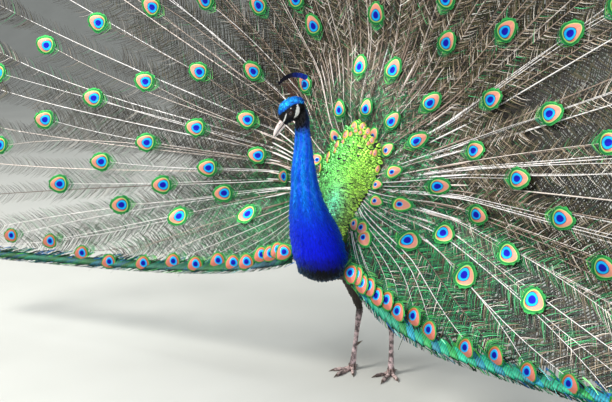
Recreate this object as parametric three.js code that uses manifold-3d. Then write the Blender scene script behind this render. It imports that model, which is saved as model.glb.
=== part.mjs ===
// A life-size Indian peacock that stands with its train raised, as a still museum model.
//
// Millimetres. The bird faces -Y, its left side is +X, and +Z is up. Its soles lie at z = 0.
// The flesh is a set of lofts through oval sections. The raised train is a thin dished shell,
// parted into sectors, whose rim has one lobe for each outer feather.

import * as THREE from 'three';
import { mergeVertices } from 'three/addons/utils/BufferGeometryUtils.js';
import Module from 'manifold-3d';

const wasm = await Module();
wasm.setup();

// ---------------------------------------------------------------- driving dimensions

const GAP = 0.35; // clearance kept between neighbouring solids
const SIDES = { left: 1, right: -1 };

// Trunk sections along the body: [y, lowest z, highest z, half width].
const TRUNK = [
  [-150, 266, 336, 46],
  [-110, 250, 378, 66],
  [-70, 241, 444, 77],
  [-30, 240, 500, 82],
  [10, 256, 542, 81],
  [50, 284, 558, 72],
  [86, 322, 522, 54],
  [110, 362, 476, 32],
];
const TRUNK_SIDES = 18;
const TRUNK_FRONT_CAP = { reach: 14, halfWidth: 18, halfHeight: 16 }; // rounds off the first section
const TRUNK_REAR_CAP = { reach: 11, halfWidth: 10, halfHeight: 18 };

// Breast and neck sections up the neck: [z, centre y, radius].
const NECK = [
  [273, -168, 23],
  [280, -168, 38],
  [292, -170, 50],
  [314, -174, 57],
  [350, -186, 57.5],
  [385, -199, 53.5],
  [421, -215, 45],
  [455, -227, 37],
  [488, -233.5, 31],
  [521, -238, 27.5],
  [550, -239.5, 23.5],
  [576, -240, 20.5],
  [600, -242, 18.2],
  [620, -243, 17.5],
  [634, -244, 16.5],
  [647, -246, 13.5],
  [658, -249, 10],
  [668, -252, 6],
];
const BREAST_TOP_Z = 392;
const NECK_PART_Z = 505;
const BREAST_REAR_Y = -132;
const NECK_SIDES = 16;

// Head. Its own frame has x to the bill, y to the bird's left, z to the crown, 0 at the eyes.
const HEAD_AT = [-12, -273, 643.5];
const HEAD_TURN = 35; // degrees to the bird's right
const HEAD_BOW = 47; // degrees bill-down
const SKULL = [ // [x, centre z, half width, half height]
  [-36, -2, 6, 8],
  [-31, -1, 11, 14],
  [-20, 1, 15, 19.5],
  [-6, 3, 16.5, 22],
  [4, 3.5, 15.8, 21],
  [13, 2, 12.8, 17],
  [20, -1, 10, 12.5],
  [25, -4, 8, 9.5],
];
const EYE_RADIUS = 6.8;
const EYE_AT = [0, 10.6, 1];
const UPPER_BILL = [ // [x, bottom z, top z, half width]
  [25.4, -6.4, 4.4, 6.6],
  [36, -7.2, 2.6, 5.2],
  [47, -8.6, -0.6, 4],
  [55, -11.4, -4.6, 2.8],
  [60, -15.4, -9.8, 1.6],
];
const LOWER_BILL = [
  [25.4, -13, -6.8, 5.8],
  [36, -12.8, -7.6, 4.6],
  [46, -12.6, -9, 3.2],
  [53, -13, -11.6, 1.6],
];
const CREST = { // plumes from one root, fanned in the middle plane; shafts lengthen to the rear
  x: -29,
  z: 15,
  plumes: 12,
  from: 92,
  to: 171,
  shafts: [34, 41],
  last: { angle: 183, shaft: 27 },
  tip: 13,
  wide: 8,
};

// Mantle, the raised tongue of scale feathers: [z, front y, half width, how far its edges fall back].
const MANTLE = [
  [345, -161, 31, 16],
  [386, -147, 41, 22],
  [427, -132, 52, 27],
  [468, -111, 69, 30],
  [496, -95, 76, 30],
  [520, -79, 76, 29],
  [540, -65, 68, 24],
  [560, -51, 54, 16],
  [580, -38, 34, 8],
  [594, -31, 14, 3],
];
const MANTLE_THICK = 46;
const MANTLE_EDGE = 2.5; // thickness left along its two edges

// Train. Angles are in degrees from straight up, on each side.
const TRAIN = {
  rootY: 54,
  rootZ: 470,
  bare: 60, // the shell starts this far out from the root
  bareBelow: 30, // and this much farther out below the body
  radius: 1175, // to the notches between the outermost feathers
  lobe: 75, // how far a feather's end stands past the notches
  lobes: 20,
  lobeSteps: 6,
  thick: 1,
  hemLevel: { left: 142, right: 180 }, // height of the hem, the train's lower edge
  hemRise: { left: 178, right: 138 }, // extra height of the hem where it meets the body
  hemFade: { left: 205, right: 360 }, // distance over which that extra height dies away
  hemInnerX: 74,
  hemLobes: 24,
  hemLobe: 16,
  hemSteps: 3,
  sectors: 5,
  hemSectors: 3,
};

// Tail, the fan of stiff quills that props the train.
const TAIL = {
  y: 104,
  z: 400,
  lean: 0.05,
  root: 40,
  radius: 425,
  lobe: 14,
  half: 98, // degrees from straight up to the lowest quill
  quills: 10,
  quillSteps: 3,
  thick: 3,
};

// Folded wings, hanging behind the train: [x, y, z, half depth, half thickness].
const WING = [
  [84, 0, 356, 26, 10],
  [90, 32, 344, 54, 18],
  [99, 90, 314, 70, 18],
  [108, 160, 268, 60, 13],
  [115, 224, 218, 38, 8],
  [119, 272, 178, 12, 3],
];

const WING_UP = [0, 0.45, 0.9]; // the way across a folded wing, from its lower edge to its upper one

const UNDERTAIL = { y: 116, z: 326, radii: [62, 70, 72] };

// Legs: where the toes join on the floor, and the heel above.
const LEGS = {
  left: { hub: [57, 37], heel: [46, 56, 146], toesTurn: -13 },
  right: { hub: [-36, 12], heel: [-33, 38, 146], toesTurn: 2 },
};
const HIP = [40, -16, 300]; // on the left side, mirrored on the right
const THIGH = [ // [share of the way from heel to hip, radius]
  [0, 9],
  [0.1, 13],
  [0.35, 23],
  [0.6, 33],
  [0.85, 39],
  [1, 34],
];
const THIGH_FLAT = 0.86; // a thigh is narrower across than along the body
const SHANK = [ // [share of the height of the heel, half across, half along]
  [0.25, 6.6, 7.2],
  [0.7, 6.2, 7.2],
  [0.9, 8, 9],
];
const SHANK_ENDS = { foot: [8.4, 9], heel: [8, 9.4] };
const FOOT_TOP_Z = 15;
const FOOT_PAD = [ // [z, radius]
  [0, 9.5],
  [8, 10.2],
  [FOOT_TOP_Z, 9],
];
const TOES = [ // [turn outwards, length, width, height]
  [0, 76, 11, 10.5],
  [36, 60, 10, 9.5],
  [-38, 56, 10, 9.5],
  [170, 34, 8.5, 9],
];
const CLAW = 15;
const SPUR = { height: 0.4, length: 22, radius: 4.5, out: [-0.45, 0.85, 0.28], across: [1, 0.5, 0] };

// ---------------------------------------------------------------- surface helpers

const point = (x, y, z) => new THREE.Vector3(x, y, z);

function smooth(value, from, to) {
  return THREE.MathUtils.smoothstep(value, from, to);
}

// A closed BufferGeometry of points and triangles, turned so that its faces point outwards.
function closedMesh(points, faces) {
  let volume = 0;
  for (let i = 0; i < faces.length; i += 3) {
    const [a, b, c] = [points[faces[i]], points[faces[i + 1]], points[faces[i + 2]]];
    volume += a.dot(b.clone().cross(c));
  }
  const index = volume < 0 ? faces.slice().reverse() : faces;
  const geometry = new THREE.BufferGeometry().setFromPoints(points);
  geometry.setIndex(index);
  return geometry;
}

// Skin a list of rings, all with as many points, and close both ends.
function loft(rings) {
  const sides = rings[0].length;
  const points = rings.flat();
  const faces = [];
  for (let i = 0; i + 1 < rings.length; i += 1) {
    for (let j = 0; j < sides; j += 1) {
      const a = i * sides + j;
      const b = i * sides + ((j + 1) % sides);
      faces.push(a, b, b + sides, a, b + sides, a + sides);
    }
  }
  for (const [start, turned] of [[0, true], [(rings.length - 1) * sides, false]]) {
    const ring = points.slice(start, start + sides);
    const middle = points.length;
    const sum = ring.reduce((total, p) => total.add(p), point(0, 0, 0));
    points.push(sum.divideScalar(sides));
    for (let j = 0; j < sides; j += 1) {
      const a = start + j;
      const b = start + ((j + 1) % sides);
      faces.push(...(turned ? [b, a, middle] : [a, b, middle]));
    }
  }
  return closedMesh(points, faces);
}

// An oval ring about a centre, with one half size along each of two directions.
function oval(centre, across, up, halfAcross, halfUp, sides) {
  const ring = [];
  for (let j = 0; j < sides; j += 1) {
    const t = (2 * Math.PI * j) / sides;
    const p = centre.clone();
    p.addScaledVector(across, halfAcross * Math.cos(t));
    p.addScaledVector(up, halfUp * Math.sin(t));
    ring.push(p);
  }
  return ring;
}

const X = point(1, 0, 0);
const Y = point(0, 1, 0);
const Z = point(0, 0, 1);

function toManifold(geometry) {
  const bare = geometry.clone();
  bare.deleteAttribute('normal');
  bare.deleteAttribute('uv');
  const merged = mergeVertices(bare, 1e-4);
  return new wasm.Manifold(new wasm.Mesh({
    numProp: 3,
    vertProperties: new Float32Array(merged.attributes.position.array),
    triVerts: new Uint32Array(merged.index.array),
  }));
}

// The largest single body of a solid, so that a cut leaves no loose crumbs.
function toGeometry(solid) {
  const pieces = solid.decompose();
  const body = pieces.reduce((best, piece) => (piece.volume() > best.volume() ? piece : best));
  const mesh = body.getMesh();
  const geometry = new THREE.BufferGeometry();
  geometry.setAttribute('position', new THREE.BufferAttribute(mesh.vertProperties, 3));
  geometry.setIndex(new THREE.BufferAttribute(mesh.triVerts, 1));
  return geometry;
}

function join(geometries) {
  return toGeometry(geometries.map(toManifold).reduce((all, next) => all.add(next)));
}

function cut(geometry, tools) {
  const solid = tools.map(toManifold).reduce((rest, tool) => rest.subtract(tool), toManifold(geometry));
  return toGeometry(solid);
}

function keep(geometry, tool) {
  return toGeometry(toManifold(geometry).intersect(toManifold(tool)));
}

// A box between two corners, for parting a body with straight cuts.
function block(from, to) {
  const size = to.map((value, i) => value - from[i]);
  const box = new THREE.BoxGeometry(...size);
  box.translate(...from.map((value, i) => value + size[i] / 2));
  return box;
}

const FAR = 2000;
const below = (z) => block([-FAR, -FAR, -FAR], [FAR, FAR, z - GAP / 2]);
const above = (z) => block([-FAR, -FAR, z + GAP / 2], [FAR, FAR, FAR]);
const behind = (y) => block([-FAR, y + GAP / 2, -FAR], [FAR, FAR, FAR]);

// ---------------------------------------------------------------- flesh

// The trunk, egg-shaped and steep in the back. Grow makes a larger copy that cuts its neighbours.
function trunkLoft(grow = 0) {
  const rings = TRUNK.map(([y, low, high, halfWidth]) => {
    const centre = point(0, y, (low + high) / 2);
    return oval(centre, X, Z, halfWidth + grow, (high - low) / 2 + grow, TRUNK_SIDES);
  });
  const cap = ([y, low, high], { reach, halfWidth, halfHeight }, heading) => {
    const centre = point(0, y + heading * (reach + grow), (low + high) / 2);
    return oval(centre, X, Z, halfWidth, halfHeight, TRUNK_SIDES);
  };
  rings.unshift(cap(TRUNK[0], TRUNK_FRONT_CAP, -1));
  rings.push(cap(TRUNK[TRUNK.length - 1], TRUNK_REAR_CAP, 1));
  return loft(rings);
}

// The breast and neck in one, a drop that narrows up to the head.
function neckLoft(grow = 0) {
  const rings = NECK.map(([z, y, radius]) => (
    oval(point(0, y, z), X, Y, radius + grow, radius + grow, NECK_SIDES)));
  rings[0].forEach((p) => p.setZ(p.z - grow));
  return loft(rings);
}

function headFrame(geometry) {
  const turned = geometry.clone();
  turned.rotateY(THREE.MathUtils.degToRad(HEAD_BOW));
  turned.rotateZ(THREE.MathUtils.degToRad(-90 - HEAD_TURN));
  turned.translate(...HEAD_AT);
  return turned;
}

function skull(grow = 0) {
  const rings = SKULL.map(([x, z, halfWidth, halfHeight]) => (
    oval(point(x, 0, z), Y, Z, halfWidth + grow, halfHeight + grow, 16)));
  rings[0].forEach((p) => p.setX(p.x - grow));
  rings[rings.length - 1].forEach((p) => p.setX(p.x + grow));
  return loft(rings);
}

function eyeball(side, grow = 0) {
  const ball = new THREE.SphereGeometry(EYE_RADIUS + grow, 12, 8);
  ball.translate(EYE_AT[0], side * EYE_AT[1], EYE_AT[2]);
  return ball;
}

function makeHead() {
  return cut(skull(), [...Object.values(SIDES).map((side) => eyeball(side, GAP)), crestRoot(GAP)]);
}

// A half of the bill: arched on top for the upper one, arched below for the lower one.
function billHalf(stations) {
  const rings = stations.map(([x, low, high, halfWidth]) => (
    oval(point(x, 0, (low + high) / 2), Y, Z, halfWidth, (high - low) / 2, 10)));
  return loft(rings);
}

// The crest's bare shafts and spoon-shaped ends, in the head's middle plane.
function crestRoot(grow = 0) {
  const root = new THREE.SphereGeometry(5 + grow, 8, 6);
  root.translate(CREST.x, 0, CREST.z);
  return root;
}

function crestPlume(degrees, shaft) {
  const angle = THREE.MathUtils.degToRad(degrees);
  const along = point(Math.cos(angle), 0, Math.sin(angle));
  const across = point(-Math.sin(angle), 0, Math.cos(angle));
  const start = point(CREST.x, 0, CREST.z);
  const at = (distance) => start.clone().addScaledVector(along, distance);
  const shaftRings = [3, shaft].map((d) => oval(at(d), across, Y, 0.8, 0.8, 4));
  const tipRings = [[0, 0.25], [0.6, 1], [1, 0.4]].map(([t, wide]) => (
    oval(at(shaft - 1 + CREST.tip * t), across, Y, (CREST.wide / 2) * wide, 1.8, 4)));
  return [loft(shaftRings), loft(tipRings)];
}

function makeCrest() {
  const pieces = [crestRoot(), ...crestPlume(CREST.last.angle, CREST.last.shaft)];
  for (let i = 0; i < CREST.plumes; i += 1) {
    const t = i / (CREST.plumes - 1);
    const angle = THREE.MathUtils.lerp(CREST.from, CREST.to, t);
    pieces.push(...crestPlume(angle, THREE.MathUtils.lerp(...CREST.shafts, t)));
  }
  return join(pieces);
}

// The mantle: a domed tongue whose front is an arc that falls back to its two edges.
function mantleLoft(grow = 0) {
  const steps = 6;
  const rings = MANTLE.map(([z, frontY, halfWidth, fall]) => {
    const front = [];
    const back = [];
    for (let i = 0; i <= steps; i += 1) {
      const u = (2 * i) / steps - 1;
      const x = u * (halfWidth + grow);
      const y = frontY + fall * u * u;
      const thick = MANTLE_THICK * Math.sqrt(Math.max(0, 1 - u ** 4)) + MANTLE_EDGE;
      front.push(point(x, y - grow, z));
      back.unshift(point(x, y + thick + grow, z));
    }
    return [...front, ...back];
  });
  rings[0].forEach((p) => p.setZ(p.z - grow));
  rings[rings.length - 1].forEach((p) => p.setZ(p.z + grow));
  return loft(rings);
}

function undertailBall(grow = 0) {
  const ball = new THREE.SphereGeometry(1, 14, 8);
  ball.scale(...UNDERTAIL.radii.map((radius) => radius + grow));
  ball.translate(0, UNDERTAIL.y, UNDERTAIL.z);
  return ball;
}

// ---------------------------------------------------------------- train and tail

// How far the train leans forward for each millimetre from its root, and where it is rooted.
function trainLean(angle) {
  return 0.1 + 0.17 * smooth(angle, 50, 100) + 0.42 * smooth(angle, 100, 150);
}

function trainRootY(angle) {
  return TRAIN.rootY * (1 - smooth(angle, 100, 150));
}

function trainPoint(side, angle, radius, back) {
  const t = THREE.MathUtils.degToRad(angle);
  const y = trainRootY(angle) - trainLean(angle) * radius + back;
  return point(side * radius * Math.sin(t), y, TRAIN.rootZ + radius * Math.cos(t));
}

function hemHeight(name, x) {
  return TRAIN.hemLevel[name] + TRAIN.hemRise[name] * Math.exp(-x / TRAIN.hemFade[name]);
}

// A feather's rounded end, 0 at the notches and 1 at the crown of the lobe.
const arch = (t) => Math.sqrt(Math.sin(Math.PI * t));

// The train's rim on one side, from straight up round to the hem beside the body.
function trainRim(name) {
  const rim = [];
  const corner = Math.acos((hemHeight(name, FAR) - TRAIN.rootZ) / TRAIN.radius);
  const steps = TRAIN.lobes * TRAIN.lobeSteps;
  for (let i = 0; i <= steps; i += 1) {
    const t = (i % TRAIN.lobeSteps) / TRAIN.lobeSteps;
    const notch = t === 0.5 ? 0.8 : 1; // the shallow fork in a fishtail feather
    const angle = THREE.MathUtils.radToDeg((corner * i) / steps);
    rim.push([angle, TRAIN.radius + TRAIN.lobe * arch(t) * notch]);
  }
  const outerX = TRAIN.radius * Math.sin(corner);
  const hemSteps = TRAIN.hemLobes * TRAIN.hemSteps;
  for (let i = 1; i <= hemSteps; i += 1) {
    const x = THREE.MathUtils.lerp(outerX, TRAIN.hemInnerX, i / hemSteps);
    const z = hemHeight(name, x) - TRAIN.rootZ;
    const radius = Math.hypot(x, z);
    const t = (i % TRAIN.hemSteps) / TRAIN.hemSteps;
    const lobe = (TRAIN.hemLobe * arch(t) * radius) / -z; // a feather lies aslant across the hem
    rim.push([THREE.MathUtils.radToDeg(Math.atan2(x, z)), radius + lobe]);
  }
  return rim;
}

// A thin plate: a triangulated front, the same triangles behind it, and walls along its border.
function plate(front, back, triangles) {
  const count = front.length;
  const faces = [];
  const edges = new Map();
  for (const [a, b, c] of triangles) {
    faces.push(a, b, c, a + count, c + count, b + count);
    for (const [from, to] of [[a, b], [b, c], [c, a]]) {
      edges.set(`${from}_${to}`, [from, to]);
    }
  }
  for (const [from, to] of edges.values()) {
    if (!edges.has(`${to}_${from}`)) {
      faces.push(from, from + count, to + count, from, to + count, to);
    }
  }
  return closedMesh([...front, ...back], faces);
}

// Part of a fan: a strip from the root out to the notches, and a rounded lobe on each step of it.
// The two straight sides are drawn in by half the gap. Place turns polar values into a point.
function lobedFan(rim, lobeSteps, innerRadius, thick, place) {
  const polar = [];
  const triangles = [];
  const mark = (angle, radius, inset = 0) => polar.push({ angle, radius, inset }) - 1;
  const lobes = (rim.length - 1) / lobeSteps;
  const rows = [];
  for (let i = 0; i <= lobes; i += 1) {
    const [angle, radius] = rim[i * lobeSteps];
    const inset = ((i === 0) - (i === lobes)) * (GAP / 2);
    rows.push([mark(angle, innerRadius(angle), inset), mark(angle, radius, inset)]);
  }
  for (let i = 0; i < lobes; i += 1) {
    const [inner, notch] = rows[i];
    const [nextInner, nextNotch] = rows[i + 1];
    const [angle, radius] = rim[i * lobeSteps];
    const [nextAngle, nextRadius] = rim[(i + 1) * lobeSteps];
    const middle = mark((angle + nextAngle) / 2, (radius + nextRadius) / 2);
    triangles.push([inner, notch, middle], [inner, middle, nextInner], [nextInner, middle, nextNotch]);
    const lobe = rim.slice(i * lobeSteps + 1, (i + 1) * lobeSteps).map((entry) => mark(...entry));
    const outline = [notch, ...lobe, nextNotch];
    for (let k = 0; k + 1 < outline.length; k += 1) {
      triangles.push([middle, outline[k], outline[k + 1]]);
    }
  }
  const face = (back) => polar.map(({ angle, radius, inset }) => place(angle, radius, inset, back));
  return plate(face(0), face(thick), triangles);
}

// How far a point beside a straight cut is shifted, square to the cut.
function sidestep(side, angle, inset) {
  const t = THREE.MathUtils.degToRad(angle);
  return point(side * Math.cos(t) * inset, 0, -Math.sin(t) * inset);
}

function trainSector(side, rim, lobeSteps) {
  const innerRadius = (angle) => TRAIN.bare + TRAIN.bareBelow * smooth(angle, 100, 150);
  const place = (angle, radius, inset, back) => (
    trainPoint(side, angle, radius, back).add(sidestep(side, angle, inset)));
  return lobedFan(rim, lobeSteps, innerRadius, TRAIN.thick, place);
}

// The sectors of one side, each with its name, its stretch of rim and the steps in a lobe.
function splitRim(rim, name) {
  const corner = TRAIN.lobes * TRAIN.lobeSteps;
  const upper = corner / TRAIN.sectors;
  const hem = (TRAIN.hemLobes * TRAIN.hemSteps) / TRAIN.hemSectors;
  const parts = [];
  for (let i = 0; i < TRAIN.sectors; i += 1) {
    parts.push([`train_${name}_${i + 1}`, rim.slice(i * upper, (i + 1) * upper + 1), TRAIN.lobeSteps]);
  }
  for (let i = 0; i < TRAIN.hemSectors; i += 1) {
    const start = corner + i * hem;
    parts.push([`train_hem_${name}_${i + 1}`, rim.slice(start, start + hem + 1), TRAIN.hemSteps]);
  }
  return parts;
}

function tailHalf(side) {
  const rim = [];
  const steps = TAIL.quills * TAIL.quillSteps;
  for (let i = 0; i <= steps; i += 1) {
    const t = (i % TAIL.quillSteps) / TAIL.quillSteps;
    rim.push([(TAIL.half * i) / steps, TAIL.radius + TAIL.lobe * arch(t)]);
  }
  const place = (angle, radius, inset, back) => {
    const t = THREE.MathUtils.degToRad(angle);
    const y = TAIL.y - TAIL.lean * radius + back;
    const spot = point(side * radius * Math.sin(t), y, TAIL.z + radius * Math.cos(t));
    return spot.add(sidestep(side, angle, inset));
  };
  return lobedFan(rim, TAIL.quillSteps, () => TAIL.root, TAIL.thick, place);
}

// ---------------------------------------------------------------- wings and legs

function wingLoft(side) {
  const rings = WING.map(([x, y, z, halfDepth, halfThick]) => {
    const up = point(...WING_UP).normalize();
    return oval(point(side * x, y, z), X, up, halfThick, halfDepth, 12);
  });
  return loft(rings);
}

function legRing(leg, z, halfAcross, halfAlong) {
  const t = z / leg.heel[2];
  const x = THREE.MathUtils.lerp(leg.hub[0], leg.heel[0], t);
  const y = THREE.MathUtils.lerp(leg.hub[1], leg.heel[1], t);
  return oval(point(x, y, z), X, Y, halfAcross, halfAlong, 10);
}

// The bare shank, with its spur on the rear inner side.
function makeShank(side, leg) {
  const heelZ = leg.heel[2];
  const rings = [
    legRing(leg, FOOT_TOP_Z + GAP, ...SHANK_ENDS.foot),
    ...SHANK.map(([share, halfAcross, halfAlong]) => legRing(leg, share * heelZ, halfAcross, halfAlong)),
    legRing(leg, heelZ - GAP, ...SHANK_ENDS.heel),
  ];
  const root = legRing(leg, SPUR.height * heelZ, 0, 0)[0];
  const out = point(SPUR.out[0] * side, SPUR.out[1], SPUR.out[2]).normalize();
  const across = point(SPUR.across[0] * side, SPUR.across[1], SPUR.across[2]).normalize();
  const spur = [[0.1, 1], [0.5, 0.62], [1, 0.12]].map(([share, size]) => {
    const centre = root.clone().addScaledVector(out, SPUR.length * share);
    return oval(centre, across, Z, SPUR.radius * size, SPUR.radius * size, 8);
  });
  return join([loft(rings), loft(spur)]);
}

function makeThigh(side, leg) {
  const heel = point(...leg.heel);
  const hip = point(side * HIP[0], HIP[1], HIP[2]);
  const rings = THIGH.map(([share, radius]) => (
    oval(heel.clone().lerp(hip, share), X, Y, radius * THIGH_FLAT, radius, 14)));
  return cut(loft(rings), [trunkLoft(GAP), neckLoft(GAP)]);
}

// A toe with a flat sole, an arched back and a claw.
function toe([turn, length, width, height], side, leg) {
  const heading = THREE.MathUtils.degToRad(side * turn - leg.toesTurn);
  const along = point(Math.sin(heading), -Math.cos(heading), 0);
  const across = point(Math.cos(heading), Math.sin(heading), 0);
  const hub = point(leg.hub[0], leg.hub[1], 0);
  const knuckle = length - CLAW;
  const stations = [
    [-4, 0.9, 1.25],
    [0.5 * knuckle, 0.78, 0.88],
    [knuckle, 0.62, 0.8],
    [knuckle + 0.5 * CLAW, 0.36, 0.6],
    [length, 0.1, 0.1],
  ];
  const outline = [[-1, 0], [-0.9, 0.65], [0, 1], [0.9, 0.65], [1, 0]];
  const rings = stations.map(([distance, wide, tall]) => outline.map(([u, v]) => (
    hub.clone().addScaledVector(along, distance).addScaledVector(across, (u * wide * width) / 2)
      .addScaledVector(Z, v * tall * height))));
  return loft(rings);
}

function makeFoot(side, leg) {
  const hub = point(leg.hub[0], leg.hub[1], 0);
  const pad = FOOT_PAD.map(([z, radius]) => oval(hub.clone().setZ(z), X, Y, radius, radius, 12));
  return join([loft(pad), ...TOES.map((shape) => toe(shape, side, leg))]);
}

// ---------------------------------------------------------------- the bird

const COLOURS = {
  blue: [0x0a4bd8, 0.45],
  crown: [0x12a6ea, 0.45],
  dark: [0x1b2014, 0.7],
  scale: [0x7bb84a, 0.4],
  train: [0x5a6b3f, 0.6],
  hem: [0x1d8f86, 0.5],
  quill: [0x8a7a66, 0.7],
  wing: [0x8b5a33, 0.7],
  down: [0xb3a894, 0.9],
  shank: [0xa8906c, 0.6],
  horn: [0xd8cbc4, 0.4],
  eye: [0x1a0f08, 0.1],
  crest: [0x0b1f9a, 0.5],
};

const peacock = new THREE.Group();

function add(name, geometry, finish) {
  const [color, roughness] = COLOURS[finish];
  const mesh = new THREE.Mesh(geometry, new THREE.MeshStandardMaterial({ color, roughness, metalness: 0 }));
  mesh.name = name;
  peacock.add(mesh);
}

const headTool = headFrame(skull(GAP));
const neck = cut(neckLoft(), [headTool]);
const breast = cut(keep(neck, below(BREAST_TOP_Z)), [behind(BREAST_REAR_Y - GAP)]);
const breastTool = keep(neckLoft(GAP), block([-FAR, -FAR, 0], [FAR, BREAST_REAR_Y + GAP / 2, FAR]));
const trunk = cut(trunkLoft(), [breastTool]);
const mantle = cut(mantleLoft(), [trunkLoft(GAP), neckLoft(GAP)]);
const undertail = cut(undertailBall(), [trunkLoft(GAP)]);

add('head', headFrame(makeHead()), 'crown');
add('bill_upper', headFrame(billHalf(UPPER_BILL)), 'horn');
add('bill_lower', headFrame(billHalf(LOWER_BILL)), 'horn');
add('crest', headFrame(makeCrest()), 'crest');
for (const [name, side] of Object.entries(SIDES)) {
  add(`eye_${name}`, headFrame(eyeball(side)), 'eye');
}
add('neck_upper', keep(neck, above(NECK_PART_Z)), 'blue');
add('neck_lower', keep(keep(neck, below(NECK_PART_Z)), above(BREAST_TOP_Z)), 'blue');
add('breast', breast, 'blue');
add('trunk', trunk, 'dark');
add('mantle', mantle, 'scale');
add('undertail', undertail, 'down');

const fleshTools = [trunkLoft(GAP), neckLoft(GAP), mantleLoft(GAP)];
for (const [name, side] of Object.entries(SIDES)) {
  for (const [sector, rim, lobeSteps] of splitRim(trainRim(name), name)) {
    const shell = cut(trainSector(side, rim, lobeSteps), fleshTools);
    add(sector, shell, sector.includes('hem') ? 'hem' : 'train');
  }
  add(`tail_${name}`, cut(tailHalf(side), [trunkLoft(GAP), undertailBall(GAP)]), 'quill');
  add(`wing_${name}`, cut(wingLoft(side), [trunkLoft(GAP), undertailBall(GAP)]), 'wing');
  add(`thigh_${name}`, makeThigh(side, LEGS[name]), 'dark');
  add(`shank_${name}`, makeShank(side, LEGS[name]), 'shank');
  add(`foot_${name}`, makeFoot(side, LEGS[name]), 'shank');
}

// Centre the bird over its own footprint box, with its soles on the floor.
const bounds = new THREE.Box3().setFromObject(peacock);
const centre = bounds.getCenter(point(0, 0, 0));
peacock.position.set(-centre.x, -centre.y, -bounds.min.z);

export default peacock;
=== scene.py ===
# %% [markdown]
# # A life-size peacock with its train raised
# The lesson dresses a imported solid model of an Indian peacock. The solids give every place and size.
# Each step says what the piece is on the living bird, how it could be made, and why this way was taken.

# %% Load the solid model as a fixed frame
import math

import bmesh
import bpy
import numpy as np
from mathutils import Matrix, Vector


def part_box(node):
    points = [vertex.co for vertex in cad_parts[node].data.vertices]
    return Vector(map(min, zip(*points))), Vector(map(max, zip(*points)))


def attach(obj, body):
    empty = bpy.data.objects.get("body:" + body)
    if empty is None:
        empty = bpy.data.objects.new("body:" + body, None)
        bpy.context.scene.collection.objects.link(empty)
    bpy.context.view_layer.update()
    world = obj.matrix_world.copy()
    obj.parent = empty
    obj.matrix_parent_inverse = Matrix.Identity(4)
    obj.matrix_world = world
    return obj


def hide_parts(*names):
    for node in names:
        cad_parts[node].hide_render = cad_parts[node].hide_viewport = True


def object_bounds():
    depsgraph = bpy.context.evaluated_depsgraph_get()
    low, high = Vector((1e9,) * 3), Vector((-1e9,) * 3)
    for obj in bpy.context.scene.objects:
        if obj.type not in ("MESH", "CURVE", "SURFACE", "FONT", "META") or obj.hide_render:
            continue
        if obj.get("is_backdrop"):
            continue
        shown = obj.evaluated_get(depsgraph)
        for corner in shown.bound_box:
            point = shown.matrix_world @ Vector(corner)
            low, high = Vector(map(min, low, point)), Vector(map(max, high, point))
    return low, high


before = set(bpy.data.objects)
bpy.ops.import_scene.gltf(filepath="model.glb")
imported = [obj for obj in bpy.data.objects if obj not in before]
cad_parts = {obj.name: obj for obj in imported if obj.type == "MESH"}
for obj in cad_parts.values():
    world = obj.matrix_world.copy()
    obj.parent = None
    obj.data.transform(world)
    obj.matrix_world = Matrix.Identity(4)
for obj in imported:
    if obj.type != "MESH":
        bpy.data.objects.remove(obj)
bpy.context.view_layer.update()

# %% [markdown]
# ## The bird's own frame
# Feathers are laid out in a frame between the bird's feet: -Y is ahead, +X is its left, +Z is up.
# The solids were centred on their bounding box, so one shift carries that frame to the model's.
# The left eye is a small sphere in both, and its place gives the shift.

# %% The head's frame, and the shift to the model's frame
MM = 0.001
HEAD_AT = np.array([-0.012, -0.273, 0.6435])
HEAD_TURN = math.radians(35)
HEAD_BOW = math.radians(47)
EYE_AT = np.array([0.0, 10.6, 1.0]) * MM
EYE_RADIUS = 6.8 * MM


def rotation(axis, angle):
    """The 3 by 3 matrix that turns points by an angle about a world axis."""
    return np.array(Matrix.Rotation(angle, 3, axis))


HEAD_MATRIX = rotation("Z", -math.pi / 2 - HEAD_TURN) @ rotation("Y", HEAD_BOW)


def head_to_bird(points):
    """Head frame (x to the bill, y to the left, z to the crown) to the bird's frame: turn, then move."""
    return np.asarray(points) @ HEAD_MATRIX.T + HEAD_AT


def bird_to_head(points):
    """The bird's frame to the head's: the inverse of head_to_bird."""
    return (np.asarray(points) - HEAD_AT) @ HEAD_MATRIX


eye_low, eye_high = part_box("eye_left")
SHIFT = np.array((eye_low + eye_high) / 2) - head_to_bird(EYE_AT)
print("shift from the bird's frame, mm:", (SHIFT * 1000).round(1))

# %% [markdown]
# ## Camera
# A long lens stands off the bird's left front, a little above its head, and looks down at the breast.
# The train runs out of the picture on three sides.

# %% Camera
LENS = 61.8
CAMERA_AT = np.array([1.27, -2.01, 0.87])
CAMERA_YAW = math.radians(35.5)
CAMERA_PITCH = math.radians(10.8)


def place_object(name, data):
    """Put a mesh, lamp or camera into the scene as an object."""
    placed = bpy.data.objects.new(name, data)
    bpy.context.scene.collection.objects.link(placed)
    return placed


camera = place_object("camera", bpy.data.cameras.new("camera"))
camera.data.lens = LENS
camera.data.sensor_width = 36
camera.data.clip_end = 50
camera.location = CAMERA_AT + SHIFT
camera.rotation_euler = (math.pi / 2 - CAMERA_PITCH, 0, CAMERA_YAW)
bpy.context.scene.camera = camera

# %% [markdown]
# ## Helpers for surfaces
# Every coat piece is a great many small patches of one shape: a scale, a tuft or a barb.
# Each patch is a grid of rows and columns, and all of them are worked out at once as one array.

# %% Numbers and grids
def smooth(value, start, end):
    """0 before start, 1 after end, and 3t^2 - 2t^3 between them."""
    t = np.clip((np.asarray(value, float) - start) / (end - start), 0, 1)
    return t * t * (3 - 2 * t)


def unit(vectors):
    """Each vector over its own length."""
    return vectors / np.maximum(np.linalg.norm(vectors, axis=-1, keepdims=True), 1e-12)


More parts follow.
